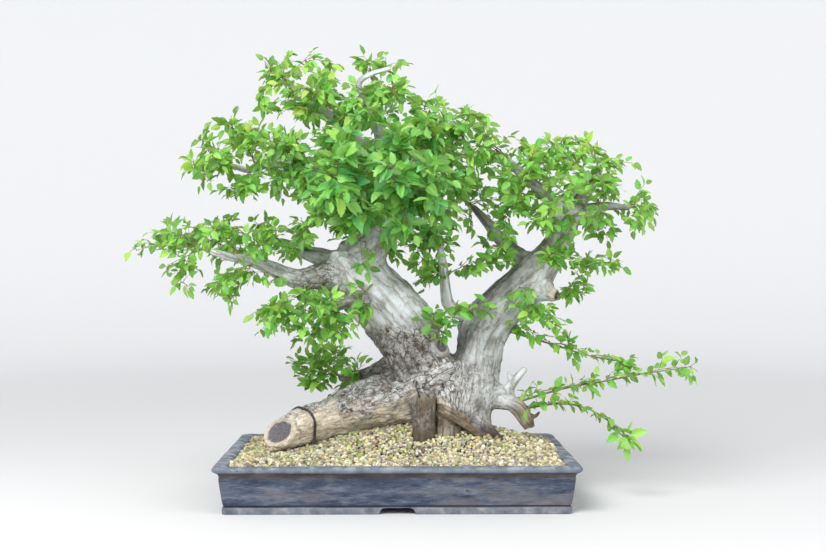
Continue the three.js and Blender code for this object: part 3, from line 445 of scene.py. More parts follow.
class Limb:
    """A limb of the wood: a smooth line with a radius and carried axes at each of its points."""

    STEPS = 4

    def __init__(self, number, name, line, flute=0.0, rough=(0, 0), brown=(0, 0), dark=(0, 0),
                 cut=None, callus=0.0, face=None, shift=(0, 0, 0)):
        self.number, self.name, self.flute, self.cut, self.callus = number, name, flute, cut, callus
        self.traits = np.array([rough, brown, dark], float)
        self.line = np.array(line, float)
        spans = len(line) - 1
        self.at = np.linspace(0, 1, spans * self.STEPS + 1)
        self.path = catmull(self.line[:, :3], self.at)
        self.radius = np.interp(self.at * spans, np.arange(spans + 1), self.line[:, 3])
        self.ahead, self.side, self.over = carried_axes(self.path)
        self.face = self.ahead[-1] if face is None else unit(np.array(face, float))
        self.face_middle = self.path[-1] + shift
        steps = np.linalg.norm(np.diff(self.path, axis=0), axis=1)
        self.along = np.concatenate([[0], np.cumsum(steps)])
        self.blend = TIGHT_BLENDS.get(name, float(np.clip(0.5 * self.line[0, 3], 5, 20)))

    def point(self, at):
        return catmull(self.line[:, :3], [at])[0]

    def radius_at(self, at):
        return float(np.interp(at, self.at, self.radius))

    def distance(self, points, i):
        """From points to the skin of segment i, with the share t along it and the way out from its axis."""
        start = self.path[i].astype(points.dtype)
        step = (self.path[i + 1] - self.path[i]).astype(points.dtype)
        gap = points - start
        t = np.clip(gap @ (step / step.dot(step)), 0, 1)
        gap -= t[..., None] * step
        off = np.sqrt(np.einsum("...i,...i->...", gap, gap))
        radius = self.radius[i] + t * (self.radius[i + 1] - self.radius[i])
        if self.flute:
            over, side = self.over[i].astype(points.dtype), self.side[i].astype(points.dtype)
            angle = np.arctan2(gap @ over, gap @ side)
            at = self.at[i] + t * (self.at[i + 1] - self.at[i])
            swell = np.sin(3 * angle + 5 * at + self.number)
            swell = swell + 0.6 * np.sin(5 * angle - 7 * at + 2 * self.number)
            radius = radius * (1 + self.flute * swell)
        return off - radius, t, gap


LIMBS = {name: Limb(i, name, **shape) for i, (name, shape) in enumerate(WOOD.items())}

# The wood's field: how far each point of a grid lies outside the skin

# The grid's step, the distance that stands for all that is far, and where the wood ends under the soil
PITCH = 1.9
FAR = 90.0
WOOD_FLOOR = 60.0


def smooth_min(a, b, k):
    """The smaller of two fields, rounded over k millimetres where they meet."""
    h = np.maximum(k - np.abs(a - b), 0) / k
    return np.minimum(a, b) - h * h * k / 4


def smooth_max(a, b, k):
    return -smooth_min(-a, -b, k)


def window(low, high, origin, shape):
    """The part of the grid between two corners."""
    first = np.maximum(np.floor((low - origin) / PITCH).astype(int), 0)
    last = np.minimum(np.ceil((high - origin) / PITCH).astype(int) + 1, shape)
    return tuple(slice(a, b) for a, b in zip(first, last))


def grid_points(part, origin):
    axes = [origin[i] + PITCH * np.arange(part[i].start, part[i].stop) for i in range(3)]
    points = np.empty([len(axis) for axis in axes] + [3], np.float32)
    for i, axis in enumerate(axes):
        points[..., i] = axis.reshape([-1 if j == i else 1 for j in range(3)])
    return points


def limb_reach(limb):
    """How far from its line a limb can shape the wood."""
    return limb.radius.max() * (1 + 1.6 * limb.flute) + 1.3 * limb.blend + 3


def limb_field(limb, part, origin, shape):
    own = np.full([s.stop - s.start for s in part], FAR, np.float32)
    room = 1.3 * limb.blend + 3
    for i in range(len(limb.path) - 1):
        ends = limb.path[i:i + 2]
        reach = limb.radius[i:i + 2].max() * (1 + 1.6 * limb.flute) + room
        inner = window(ends.min(0) - reach, ends.max(0) + reach, origin, shape)
        local = tuple(slice(a.start - b.start, a.stop - b.start) for a, b in zip(inner, part))
        gap, _, _ = limb.distance(grid_points(inner, origin), i)
        own[local] = np.minimum(own[local], gap)
    return own


def cut_end(own, limb, part, origin, depth=6.0, share=0.76):
    """Saws a limb's end off: a rounded edge, a rolled callus round it and a shallow hollow in its face,
    depth millimetres deep over a share of its radius."""
    gap = grid_points(part, origin) - limb.face_middle
    radius = limb.radius[-1]
    beyond = gap @ limb.face
    own = smooth_max(own, beyond - limb.cut, 0.3 * radius)
    off = np.sqrt(np.maximum(np.einsum("...i,...i->...", gap, gap) - beyond ** 2, 0))
    if limb.callus:
        roll = np.hypot(off - 0.92 * radius, beyond - limb.cut + 0.7 * limb.callus) - limb.callus
        own = smooth_min(own, roll, 5.0)
    depth = min(depth, 0.35 * radius)
    bowl = (radius * share) ** 2 / (2 * depth) + depth / 2
    hollow = np.hypot(off, beyond - limb.cut - bowl + depth) - bowl
    return smooth_max(own, -hollow, 2.5)


def cut_masks(points):
    """Where the sawn faces lie, the callus rolled round them, and the fold outside it."""
    sawn, callus, groove = np.zeros((3, len(points)))
    for limb in LIMBS.values():
        if limb.cut is None:
            continue
        gap = points - limb.face_middle
        radius = limb.radius[-1]
        beyond = gap @ limb.face
        off = np.linalg.norm(gap - beyond[:, None] * limb.face, axis=1) / radius
        near = smoothstep(-0.75 * radius, -0.4 * radius, beyond) * (off < 1.8)
        off = off + 0.07 * noise(points / 9.0, seed=61)
        sawn = np.maximum(sawn, near * (1 - smoothstep(0.76, 0.85, off)))
        callus = np.maximum(callus, near * smoothstep(0.76, 0.85, off) * (1 - smoothstep(0.92, 1.12, off)))
        beside = smoothstep(1.05, 1.12, off) * (1 - smoothstep(1.14, 1.26, off))
        groove = np.maximum(groove, near * beside * smoothstep(-0.3, 0.2, noise(points / 16.0, seed=62)))
    return sawn, callus, groove


def wood_field():
    """A grid of how far each of its points lies outside the wood, and the grid's first corner."""
    low = np.min([(limb.path - limb.radius[:, None] * 1.12).min(0) for limb in LIMBS.values()], axis=0) - 12
    high = np.max([(limb.path + limb.radius[:, None] * 1.12).max(0) for limb in LIMBS.values()], axis=0) + 12
    low[2] = WOOD_FLOOR - 4 * PITCH
    shape = np.ceil((high - low) / PITCH).astype(int) + 1
    field = np.full(shape, FAR, np.float32)
    for limb in LIMBS.values():
        reach = limb_reach(limb)
        part = window(limb.path.min(0) - reach, limb.path.max(0) + reach, low, shape)
        own = limb_field(limb, part, low, shape)
        if limb.cut is not None:
            own = cut_end(own, limb, part, low)
        base = field[part]
        both = (base < FAR) & (own < FAR)
        field[part] = np.where(both, smooth_min(base, own, limb.blend), np.minimum(base, own))
    for start, end, radius, stretch, soft in HOLLOWS:
        room = radius * np.array(stretch) + 2 * soft
        part = window(np.minimum(start, end) - room, np.maximum(start, end) + room, low, shape)
        line = np.subtract(end, start) / stretch
        gap = (grid_points(part, low) - start) / stretch
        share = np.clip(gap @ line / max(line @ line, 1e-9), 0, 1)
        gap = np.linalg.norm(gap - share[..., None] * line, axis=-1) - radius
        field[part] = smooth_max(field[part], -gap, soft)
    heights = low[2] + PITCH * np.arange(shape[2])
    return np.maximum(field, (WOOD_FLOOR - heights).astype(np.float32)), low


# Holes and creases in the wood: from, to, radius, how far it is stretched each way, how soft its edge is
HOLLOWS = [
    # The open fork between the two trunks
    ((90, -70, 236), (90, 110, 236), 10.5, (1, 1, 1.9), 5.0),
    ((84, -70, 254), (84, 110, 254), 18.0, (1, 1, 1.1), 5.0),
    # The dark pocket under the left trunk, and the old cut on the left limb
    ((-24, -20, 216), (-18, -8, 218), 6.0, (1.2, 1, 1), 3.0),
    ((-158, -32, 352), (-157, -24, 352), 6.0, (1.3, 1, 1), 3.0),
    # The split beside the front root, and folds in the old bark above the surface root
    ((61, -38, 150), (61, -42, 92), 2.8, (1, 6.5, 1), 1.5),
    ((2, -44, 214), (40, -46, 203), 2.4, (1, 8, 1), 2.5),
    ((-6, -44, 262), (38, -45, 248), 2.2, (1, 8, 1), 2.5),
    ((30, -36, 180), (34, -38, 156), 1.7, (1, 7.5, 1), 2.5),
    ((70, -40, 176), (78, -42, 148), 1.8, (1, 10, 1), 2.0),
    ((112, -34, 150), (118, -38, 128), 1.8, (1, 7, 1), 2.5),
]


def surface(field, origin):
    """Closed quads round the space where the field is below 0, one point for each cell that it crosses."""
    inside = field < 0
    count = np.zeros(np.array(field.shape) - 1, np.int8)
    for i, j, k in CORNERS:
        count += inside[i:i + count.shape[0], j:j + count.shape[1], k:k + count.shape[2]]
    active = (count > 0) & (count < 8)
    cells = np.argwhere(active)
    number = np.full(active.shape, -1, np.int32)
    number[active] = np.arange(len(cells))
    total = np.zeros((len(cells), 3))
    hits = np.zeros(len(cells))
    for a in CORNERS:
        for axis in range(3):
            if a[axis]:
                continue
            b = a.copy()
            b[axis] = 1
            near = field[tuple((cells + a).T)]
            far = field[tuple((cells + b).T)]
            crossed = (near < 0) != (far < 0)
            share = near[crossed] / (near[crossed] - far[crossed])
            total[crossed] += a + share[:, None] * (b - a)
            hits += crossed
    points = origin + PITCH * (cells + total / hits[:, None])
    faces = []
    for axis in range(3):
        step = np.eye(3, dtype=int)
        forward, u, v = step[axis], step[(axis + 1) % 3], step[(axis + 2) % 3]
        size = np.array(field.shape) - forward
        first = inside[:size[0], :size[1], :size[2]]
        second = inside[forward[0]:, forward[1]:, forward[2]:]
        edges = np.argwhere(first != second)
        quad = np.stack([number[tuple((edges - move).T)] for move in (u + v, v, 0 * u, u)], axis=1)
        flip = ~first[tuple(edges.T)]
        quad[flip] = quad[flip][:, ::-1]
        faces.append(quad)
    return points, np.concatenate(faces)


def neighbours_mean(points, edges):
    """The mean of each point's neighbours."""
    total = np.zeros_like(points)
    size = len(points)
    for axis in range(3):
        for near, far in (edges.T, edges.T[::-1]):
            total[:, axis] += np.bincount(near, weights=points[far, axis], minlength=size)
    return total / np.bincount(edges.ravel(), minlength=size)[:, None]


def relax(points, faces, times):
    """Evens a surface out without letting it shrink."""
    edges = np.concatenate([faces[:, [0, 1]], faces[:, [1, 2]], faces[:, [2, 3]], faces[:, [3, 0]]])
    edges = np.unique(np.sort(edges, axis=1), axis=0)
    for _ in range(times):
        for push in (0.5, -0.52):
            points = points + push * (neighbours_mean(points, edges) - points)
    return points


def point_normals(points, faces):
    across = points[faces[:, 2]] - points[faces[:, 0]]
    other = points[faces[:, -1]] - points[faces[:, 1]]
    facing = np.cross(across, other)
    normals = np.zeros_like(points)
    for corner in range(faces.shape[1]):
        for axis in range(3):
            own = faces[:, corner]
            normals[:, axis] += np.bincount(own, weights=facing[:, axis], minlength=len(points))
    return unit(normals)


def wood_place(points):
    """Where each point lies on the wood: the nearest limb's own straight coordinates in millimetres, its
    radius there, how rough, brown and dark the bark is (the darkness partly painted shade), blended
    between limbs, and the limb's number."""
    best = np.full(len(points), 1e9)
    local = np.zeros((len(points), 3))
    radius = np.ones(len(points))
    weight = np.full(len(points), 1e-9)
    traits = np.zeros((3, len(points)))
    owner = np.zeros(len(points), int)
    for limb in LIMBS.values():
        reach = limb.radius.max() * 1.2 + 30
        box = np.all((points > limb.path.min(0) - reach) & (points < limb.path.max(0) + reach), axis=1)
        mine = np.flatnonzero(box)
        near = np.full(len(mine), 1e9)
        spot = np.zeros((len(mine), 3))
        wide = np.ones(len(mine))
        at = np.zeros(len(mine))
        for i in range(len(limb.path) - 1):
            ends = limb.path[i:i + 2]
            room = limb.radius[i:i + 2].max() * 1.2 + 30
            close = np.flatnonzero(np.all((points[mine] > ends.min(0) - room)
                                          & (points[mine] < ends.max(0) + room), axis=1))
            if not len(close):
                continue
            gap, t, off = limb.distance(points[mine[close]], i)
            won = gap < near[close]
            take = close[won]
            near[take] = gap[won]
            off, t = off[won], t[won]
            spot[take, 0] = off @ limb.side[i]
            spot[take, 1] = off @ limb.over[i]
            spot[take, 2] = limb.along[i] + t * (limb.along[i + 1] - limb.along[i])
            wide[take] = limb.radius[i] + t * (limb.radius[i + 1] - limb.radius[i])
            at[take] = limb.at[i] + t * (limb.at[i + 1] - limb.at[i])
        share = np.exp(-np.maximum(near, -8) / 5)
        weight[mine] += share
        traits[:, mine] += share * (limb.traits[:, :1] * (1 - at) + limb.traits[:, 1:] * at)
        won = near < best[mine]
        take = mine[won]
        best[take] = near[won]
        spot[:, 0] += LIMB_SHIFT * limb.number
        local[take] = spot[won]
        radius[take] = wide[won]
        owner[take] = limb.number
    return local, radius, traits / weight, owner


def bark_relief(points):
    """How far the bark stands out at each point, in millimetres, and the masks that colour it and paint
    shade on it.
    """
    local, radius, (rough, brown, dark), owner = wood_place(points)
    x, y, z = points.T

    # Rough bark lies low down and ends in blotches, lower on the right; the surface root's side is brown
    blotch = layered(points / 38.0, 3, seed=5)
    rightward = smoothstep(70, 118, x)
    low_down = 1 - smoothstep(-26, 26, z - (262 - 57 * rightward) - 22 * blotch)
    rough = np.clip(rough * (0.25 + 0.75 * low_down) + 0.9 * low_down * (radius > 24), 0, 1)
    rough = rough * (1 - 0.55 * rightward)
    on_log, on_arm, on_left, on_right = (
        owner == LIMBS[name].number for name in ("log", "arm", "left_trunk", "right_trunk"))
    upper_side = (local[:, 0] - LIMB_SHIFT * owner) / radius
    on_root = on_log | on_arm
    brown = brown + on_root * smoothstep(44, 0, x) * np.clip(0.72 - 0.8 * upper_side, -0.3, 0.75)
    rough = rough * (1 - 0.55 * on_root * np.clip(brown - 0.2, 0, 1))
    foot = smoothstep(8, -8, z - 152 + 0.5 * (x - 63) - 6 * blotch)
    foot = foot * smoothstep(54, 66, x) * smoothstep(10, -5, y)
    brown = brown + 0.75 * foot * (1 - smoothstep(112, 128, x))
    # Painted shade: the left trunk is darkened low down, in the crease above the arm, and the right trunk on
    # its upper left side. The foot is darkened as dark brown wood.
    dark = np.where(on_left, dark * low_down * smoothstep(78, 34, x), dark)
    dark = dark + on_right * np.clip(-0.5 * upper_side, 0, 0.4) + 0.5 * foot

    # Smooth bark rises in long ridges and folds, rough bark breaks into plates with gullies between them
    scale = np.clip(radius / 30, 0.12, 1)
    ridge = 1 - 2 * np.abs(noise(local / np.array([17.0, 17.0, 105.0]), seed=11))
    fold = noise(local / np.array([30.0, 30.0, 160.0]), seed=12)
    streak = noise(local / np.array([6.5, 6.5, 60.0]), seed=13)
    lump = layered(points / 24.0, 3, seed=14)
    smooth_part = (2.3 * ridge + 4.4 * fold + 0.5 * streak + 1.6 * lump) * scale
    swirl = 0.45 * noise(points / 22, seed=3)[:, None]
    plates = cracks(local / np.array([13.0, 13.0, 20.0]) + swirl, seed=21)
    broken = smoothstep(-0.35, 0.4, noise(points / 27, seed=23))
    gully = (1 - smoothstep(0.02, 0.17, plates)) * broken
    crease = 1 - smoothstep(0, 0.10, np.abs(noise(points / np.array([46.0, 46.0, 17.0]), seed=31)))
    crease = crease * smoothstep(-0.1, 0.5, noise(points / 40, seed=32)) * smoothstep(20, 34, radius)
    knots = layered(local / np.array([11.0, 11.0, 15.0]), 2, seed=15)
    rough_part = (-1.6 * gully - 2.0 * crease + 3.0 * lump + 1.1 * knots + 0.9 * ridge) * scale
    relief = smooth_part * (1 - rough) + rough_part * rough

    # What lies deep is painted dark as shade: gullies and creases in rough bark, valleys between smooth
    # ridges and the fold round each callus. The sawn faces are smooth
    valley = (1 - rough) * smoothstep(0.0, -0.9, ridge) * 0.7
    hollow = np.clip(rough * np.maximum(gully * 0.9, crease) + valley, 0, 1)
    sawn, callus, groove = cut_masks(points)
    relief = relief * (1 - 0.9 * sawn) * (1 - 0.55 * callus) - 1.8 * groove
    hollow = np.maximum(hollow * (1 - sawn) * (1 - 0.6 * callus), 0.9 * groove)
    return relief, {
        "grain": local, "rough": rough, "brown": np.clip(brown, 0, 1.5), "dark": np.clip(dark, 0, 1.5),
        "hollow": hollow, "sawn": sawn, "callus": callus,
    }


# Materials

class Nodes:
    """A new material, and short names for the shader nodes that it is made of. Where a node takes a value
    or a colour, it can be another node's output, a number or a tuple."""

    def __init__(self, name):
        self.material = bpy.data.materials.new(name)
        self.material.use_nodes = True
        self.tree = self.material.node_tree
        self.shader = self.tree.nodes["Principled BSDF"]

    def link(self, source, target):
        if isinstance(source, (int, float)):
            target.default_value = source
        elif isinstance(source, tuple):
            target.default_value = source if len(source) == len(target.default_value) else (*source, 1)
        else:
            self.tree.links.new(source, target)

    def add(self, kind, inputs, output=0, **settings):
        """Adds a node, and returns one of its outputs, or all of them for None."""
        node = self.tree.nodes.new(kind)
        for key, value in settings.items():
            setattr(node, key, value)
        for key, value in inputs.items():
            self.link(value, node.inputs[key])
        return node.outputs if output is None else node.outputs[output]

    def attribute(self, name, output="Fac"):
        return self.add("ShaderNodeAttribute", {}, output, attribute_name=name)

    def position(self):
        return self.add("ShaderNodeTexCoord", {}, "Object")

    def stretch(self, vector, scale):
        return self.add("ShaderNodeMapping", {"Vector": vector, "Scale": scale})

    def noise(self, vector, scale, detail, rough, output="Fac"):
        inputs = {"Vector": vector, "Scale": scale, "Detail": detail, "Roughness": rough}
        return self.add("ShaderNodeTexNoise", inputs, output)

    def warp(self, vector, scale, amount):
        """Pushes the places of a texture about, so that its lines wander."""
        push = self.noise(vector, scale, 2.0, 0.5, "Color")
        inputs = {0: push, 1: (amount, amount, amount), 2: vector}
        return self.add("ShaderNodeVectorMath", inputs, operation="MULTIPLY_ADD")

    def voronoi(self, vector, scale, feature="DISTANCE_TO_EDGE"):
        inputs = {"Vector": vector, "Scale": scale}
        return self.add("ShaderNodeTexVoronoi", inputs, "Distance", feature=feature)

    def parts(self, vector):
        return self.add("ShaderNodeSeparateXYZ", {0: vector}, None)

    def math(self, operation, a, b=0.0):
        return self.add("ShaderNodeMath", {0: a, 1: b}, operation=operation)

    def times(self, a, b):
        return self.math("MULTIPLY", a, b)

    def plus(self, a, b):
        return self.math("ADD", a, b)

    def minus(self, a, b):
        return self.math("SUBTRACT", a, b)

    def spread(self, value, low, high, to_low=0.0, to_high=1.0):
        """Maps a range to another, smoothly and without leaving it."""
        inputs = {"Value": value, "From Min": low, "From Max": high, "To Min": to_low, "To Max": to_high}
        return self.add("ShaderNodeMapRange", inputs, interpolation_type="SMOOTHSTEP")

    def mix(self, share, a, b, blend="MIX"):
        """Mixes two colours, which are inputs 6 and 7 of a node that mixes other kinds too."""
        return self.add("ShaderNodeMix", {0: share, 6: a, 7: b}, 2, data_type="RGBA", blend_type=blend)

    def stained(self, colour, *stains, blend="MIX"):
        """Lays stains on a colour: a value, where each starts and is full, its strength and its colour."""
        for value, start, full, strength, stain in stains:
            colour = self.mix(self.spread(value, start, full, 0.0, strength), colour, stain, blend)
        return colour

    def ramp(self, value, *stops):
        """Colours along a value, each stop a place and its colour."""
        node = self.tree.nodes.new("ShaderNodeValToRGB")
        band = node.color_ramp
        while len(band.elements) < len(stops):
            band.elements.new(0.5)
        for element, (place, colour) in zip(band.elements, stops):
            element.position = place
            element.color = (*colour, 1)
        self.link(value, node.inputs["Fac"])
        return node.outputs["Color"]

    def bump(self, height, strength, distance):
        inputs = {"Strength": strength, "Distance": distance, "Height": height}
        return self.add("ShaderNodeBump", inputs)

    def set(self, **inputs):
        for key, value in inputs.items():
            self.link(value, self.shader.inputs[key.replace("_", " ")])


def bark_material():
    n = Nodes("hornbeam_bark")
    grain = n.attribute("grain", "Vector")
    rough, brown, dark, hollow, sawn, callus = (
        n.attribute(name) for name in ("rough", "brown", "dark", "hollow", "sawn", "callus"))
    place = n.position()
    long_grain = n.stretch(grain, (1, 1, 0.13))
    streak = n.noise(long_grain, 0.12, 4.0, 0.5)
    fine = n.noise(long_grain, 0.8, 4.0, 0.65)
    blotch = n.noise(place, 42.0, 4.0, 0.6)
    speck = n.noise(place, 300.0, 3.0, 0.6)
    wander = n.warp(grain, 0.07, 8.0)

    # Smooth bark: pale streaks along the limb, with brown lines between its sinews
    smooth = n.ramp(streak, (0.32, (0.32, 0.30, 0.28)), (0.42, (0.53, 0.535, 0.54)),
                    (0.52, (0.69, 0.72, 0.74)), (0.70, (0.80, 0.84, 0.865)))
    smooth = n.stained(smooth, (blotch, 0.47, 0.62, 0.45, (0.46, 0.465, 0.43)),
                       (fine, 0.52, 0.68, 0.32, (0.45, 0.41, 0.37)), blend="MULTIPLY")
    sinew = n.voronoi(n.stretch(wander, (1, 1, 0.11)), 0.052)
    sinew = n.times(n.spread(sinew, 0.0, 0.07, 1.0, 0.0), n.spread(blotch, 0.42, 0.55, 0.2, 0.8))
    smooth = n.mix(sinew, smooth, (0.30, 0.265, 0.245))

    # Old rough bark: mottled and pitted
    old = n.ramp(n.noise(place, 92.0, 6.0, 0.7),
                 (0.38, (0.20, 0.175, 0.145)), (0.46, (0.42, 0.40, 0.365)),
                 (0.53, (0.63, 0.635, 0.625)), (0.64, (0.80, 0.82, 0.83)))
    pits = n.noise(place, 240.0, 6.0, 0.72)
    old = n.stained(old, (pits, 0.53, 0.61, 0.75, (0.34, 0.30, 0.26)), blend="MULTIPLY")

    # Bare brown wood
    wooden = n.ramp(n.noise(n.stretch(grain, (1, 1, 0.09)), 0.26, 6.0, 0.68),
                    (0.30, (0.19, 0.14, 0.10)), (0.41, (0.53, 0.43, 0.325)),
                    (0.52, (0.80, 0.70, 0.57)), (0.74, (0.92, 0.87, 0.77)))
    warm = n.plus(brown, n.spread(blotch, 0.35, 0.7, -0.35, 0.25))
    colour = n.mix(n.spread(warm, 0.35, 1.0), n.mix(rough, smooth, old), wooden)
    # The dark mask darkens the bark: partly dark bark, partly painted shade
    shade_and_dark_bark = n.times(dark, n.spread(blotch, 0.34, 0.6, 0.65, 1.0))
    colour = n.mix(shade_and_dark_bark, colour, (0.20, 0.175, 0.15), "MULTIPLY")
    colour = n.stained(colour, (dark, 1.0, 1.5, 0.65, (0.34, 0.33, 0.33)), blend="MULTIPLY")

    # Cracks in the rough bark: a net of long ones, and short ones in patches
    lines = n.voronoi(n.stretch(wander, (1, 1, 0.5)), 0.075)
    hair = n.noise(n.stretch(grain, (1, 1, 0.6)), 0.21, 3.0, 0.55)
    hair = n.math("ABSOLUTE", n.minus(hair, 0.5))
    patch = n.noise(place, 30.0, 3.0, 0.6)
    crackle = n.times(n.spread(lines, 0.0, 0.06, 1.0, 0.0), n.spread(patch, 0.38, 0.52))
    short = n.times(n.spread(hair, 0.0, 0.030, 1.0, 0.0), n.spread(patch, 0.70, 0.52))
    crackle = n.math("MAXIMUM", crackle, short)
    crackle = n.times(crackle, n.spread(rough, 0.15, 0.7))
    crackle = n.times(crackle, n.spread(warm, 0.5, 1.0, 1.0, 0.35))
    colour = n.mix(crackle, colour, (0.055, 0.045, 0.037))
    # Painted shade where the bark lies deep
    colour = n.mix(n.times(hollow, 0.7), colour, (0.085, 0.066, 0.05))
    colour = n.stained(colour, (speck, 0.62, 0.74, 0.45, (0.16, 0.135, 0.11)))

    # The sawn faces and the callus round them
    end_grain = n.ramp(n.noise(n.stretch(grain, (1, 1, 3)), 0.35, 4.0, 0.7),
                       (0.3, (0.055, 0.05, 0.058)), (0.55, (0.15, 0.14, 0.155)), (0.75, (0.30, 0.28, 0.27)))
    colour = n.mix(sawn, colour, end_grain)
    rolled = n.mix(streak, (0.20, 0.15, 0.11), (0.60, 0.52, 0.44))
    colour = n.mix(n.times(callus, 0.6), colour, rolled)

    height = n.plus(n.times(fine, 0.8), n.times(speck, 0.5))
    height = n.minus(n.minus(height, n.times(crackle, 1.6)), n.times(sinew, 1.2))
    n.set(Base_Color=colour, Roughness=n.spread(fine, 0.2, 0.8, 0.94, 0.78), Specular_IOR_Level=0.25,
          Normal=n.bump(height, 0.6, 0.0015))
    return n.material


# Wood

WOOD_TRIANGLES = 180_000


def thin_out(piece, most):
    """Takes a piece's triangles down to a number, keeping them where the relief is."""
    count = sum(len(p.vertices) - 2 for p in piece.data.polygons)
    if count > most:
        piece.modifiers.new("fewer", "DECIMATE").ratio = most / count
        apply_modifiers(piece)


def make_wood():
    """The tree's wood. Returns the grid that it is drawn from, so that leaves and soil stay clear of it."""
    field, origin = wood_field()
    points, faces = surface(field, origin)
    points = relax(points, faces, 3)
    relief, _ = bark_relief(points)
    points = points + point_normals(points, faces) * relief[:, None]
    piece = make_piece("tree_wood", points, [faces], [])
    thin_out(piece, WOOD_TRIANGLES)
    mesh = piece.data
    co = np.empty(len(mesh.vertices) * 3, np.float32)
    mesh.vertices.foreach_get("co", co)
    _, masks = bark_relief((co.reshape(-1, 3) - MIDDLE) / MM)
    write_attributes(mesh, masks)
    mesh.materials.append(bark_material())
    mesh.polygons.foreach_set("use_smooth", np.ones(len(mesh.polygons), bool))
    settle(piece, "wood", "tree")
    return field, origin


# Sprays

# How far leaves may stand past the CAD's box
SPRAY_REACH = 9.0
# The middles of the crown's two halves, as (x, y), and where one ends and the other starts
LEFT_CROWN, RIGHT_CROWN, CROWN_PARTS_AT = np.array([-45.0, 10.0]), np.array([235.0, 10.0]), 120
# Teeth on each side of a long leaf and a short one, and how long a leaf with fine teeth is at least
FINE_TEETH, SMALL_TEETH, FINE_FROM = 6, 4, 25.0
LEAF_WIDTH = 0.275
LEAF_SIZES = (0.43, 0.72)
# Where leaves grow larger: the middle and half size of each place, and how much larger they are there
LARGE_LEAVES = [
    (np.array([-20, -150, 490]), np.array([125, 140, 120]), 0.546),
    (np.array([355, -64, 88]), np.array([45, 60, 48]), 0.39),
]
# The densest part of the crown: its middle and half size
CROWN_HEART = (np.array([-20, -40, 490]), np.array([130, 130, 100]))
# Where the crown opens on the wood behind, seen from the front: from and to as (x, z), and half width
OPENINGS = [
    ((-285, 374), (-128, 332), 9.0), ((-61, 632), (-57, 652), 7.0), ((-57, 655), (-12, 672), 6.0),
    ((-78, 384), (-38, 408), 16.0), ((-52, 316), (-6, 284), 15.0),
]


def half_width(t):
    """Half the width of a leaf at a share of its length: round at the foot, drawn out to a point."""
    return LEAF_WIDTH * 2.56 * t ** 0.55 * np.maximum(1 - t, 0) ** 0.85


def leaf_template(teeth):
    """A leaf of length 1 along x, flat at z 0: the number of teeth on a side, its points and triangles."""
    points = []
    faces = []

    def add(x, y):
        points.append((x, y))
        return len(points) - 1

    middle = [add(i / teeth, 0.0) for i in range(teeth + 1)]
    for hand in (1, -1):
        def turn(a, b, c):
            faces.append((a, b, c) if hand > 0 else (a, c, b))

        half = [middle[0]]
        notch = [middle[0]]
        for i in range(1, teeth):
            t = i / teeth
            half.append(add(t + 0.035, hand * 0.52 * half_width(t + 0.035)))
            notch.append(add(t + 0.01, hand * 0.92 * half_width(t + 0.01)))
        half.append(middle[teeth])
        notch.append(middle[teeth])
        tooth = [add((i + 0.82) / teeth, hand * 1.07 * half_width((i + 0.7) / teeth)) for i in range(teeth)]
        for i in range(teeth):
            turn(middle[i], middle[i + 1], half[i + 1])
            if 0 < i:
                turn(middle[i], half[i + 1], half[i])
            if i + 1 < teeth:
                turn(half[i], half[i + 1], tooth[i])
                turn(half[i + 1], notch[i + 1], tooth[i])
            else:
                turn(half[i], middle[teeth], tooth[i])
            if 0 < i:
                turn(notch[i], half[i], tooth[i])
    flat = np.array(points)
    return teeth, np.column_stack([flat, np.zeros(len(flat))]), np.array(faces)


TEMPLATES = [leaf_template(FINE_TEETH), leaf_template(SMALL_TEETH)]


def bowed(start, end, rise, at):
    """Points on an arch from start to end."""
    at = np.atleast_1d(at)[:, None]
    line = start + (end - start) * at
    line[:, 2] += (rise * np.linalg.norm(end - start) * 4 * at * (1 - at))[:, 0]
    return line


def spray_plan(limb_name, at, tips, kind=None):
    """The stem of a spray, and where each of its shoots starts and ends, as in the CAD source."""
    limb = LIMBS[limb_name]
    root = limb.point(at)
    tips = [np.array(tip, float) for tip in tips]
    if kind == "trailing":
        knots = [root] + tips
        places = np.linspace(0, 1, 8 * len(tips) + 1)
        path = catmull(np.array(knots), places)
        return path, list(zip(knots[:-1], tips))
    reach = np.linalg.norm(tips[0] - root)
    bark = (limb.radius_at(at) + BLADE_CLEAR) / reach
    share = max(bark, 1 - BLADE_LONGEST / reach)
    path = bowed(root, tips[0], STEM["rise"], np.linspace(0, share, 7))
    shoots = []
    for i, tip in enumerate(tips):
        place = max(bark, share * (1 - BLADE_STAGGER * i))
        shoots.append((bowed(root, tips[0], STEM["rise"], place)[0], tip))
    return path, shoots


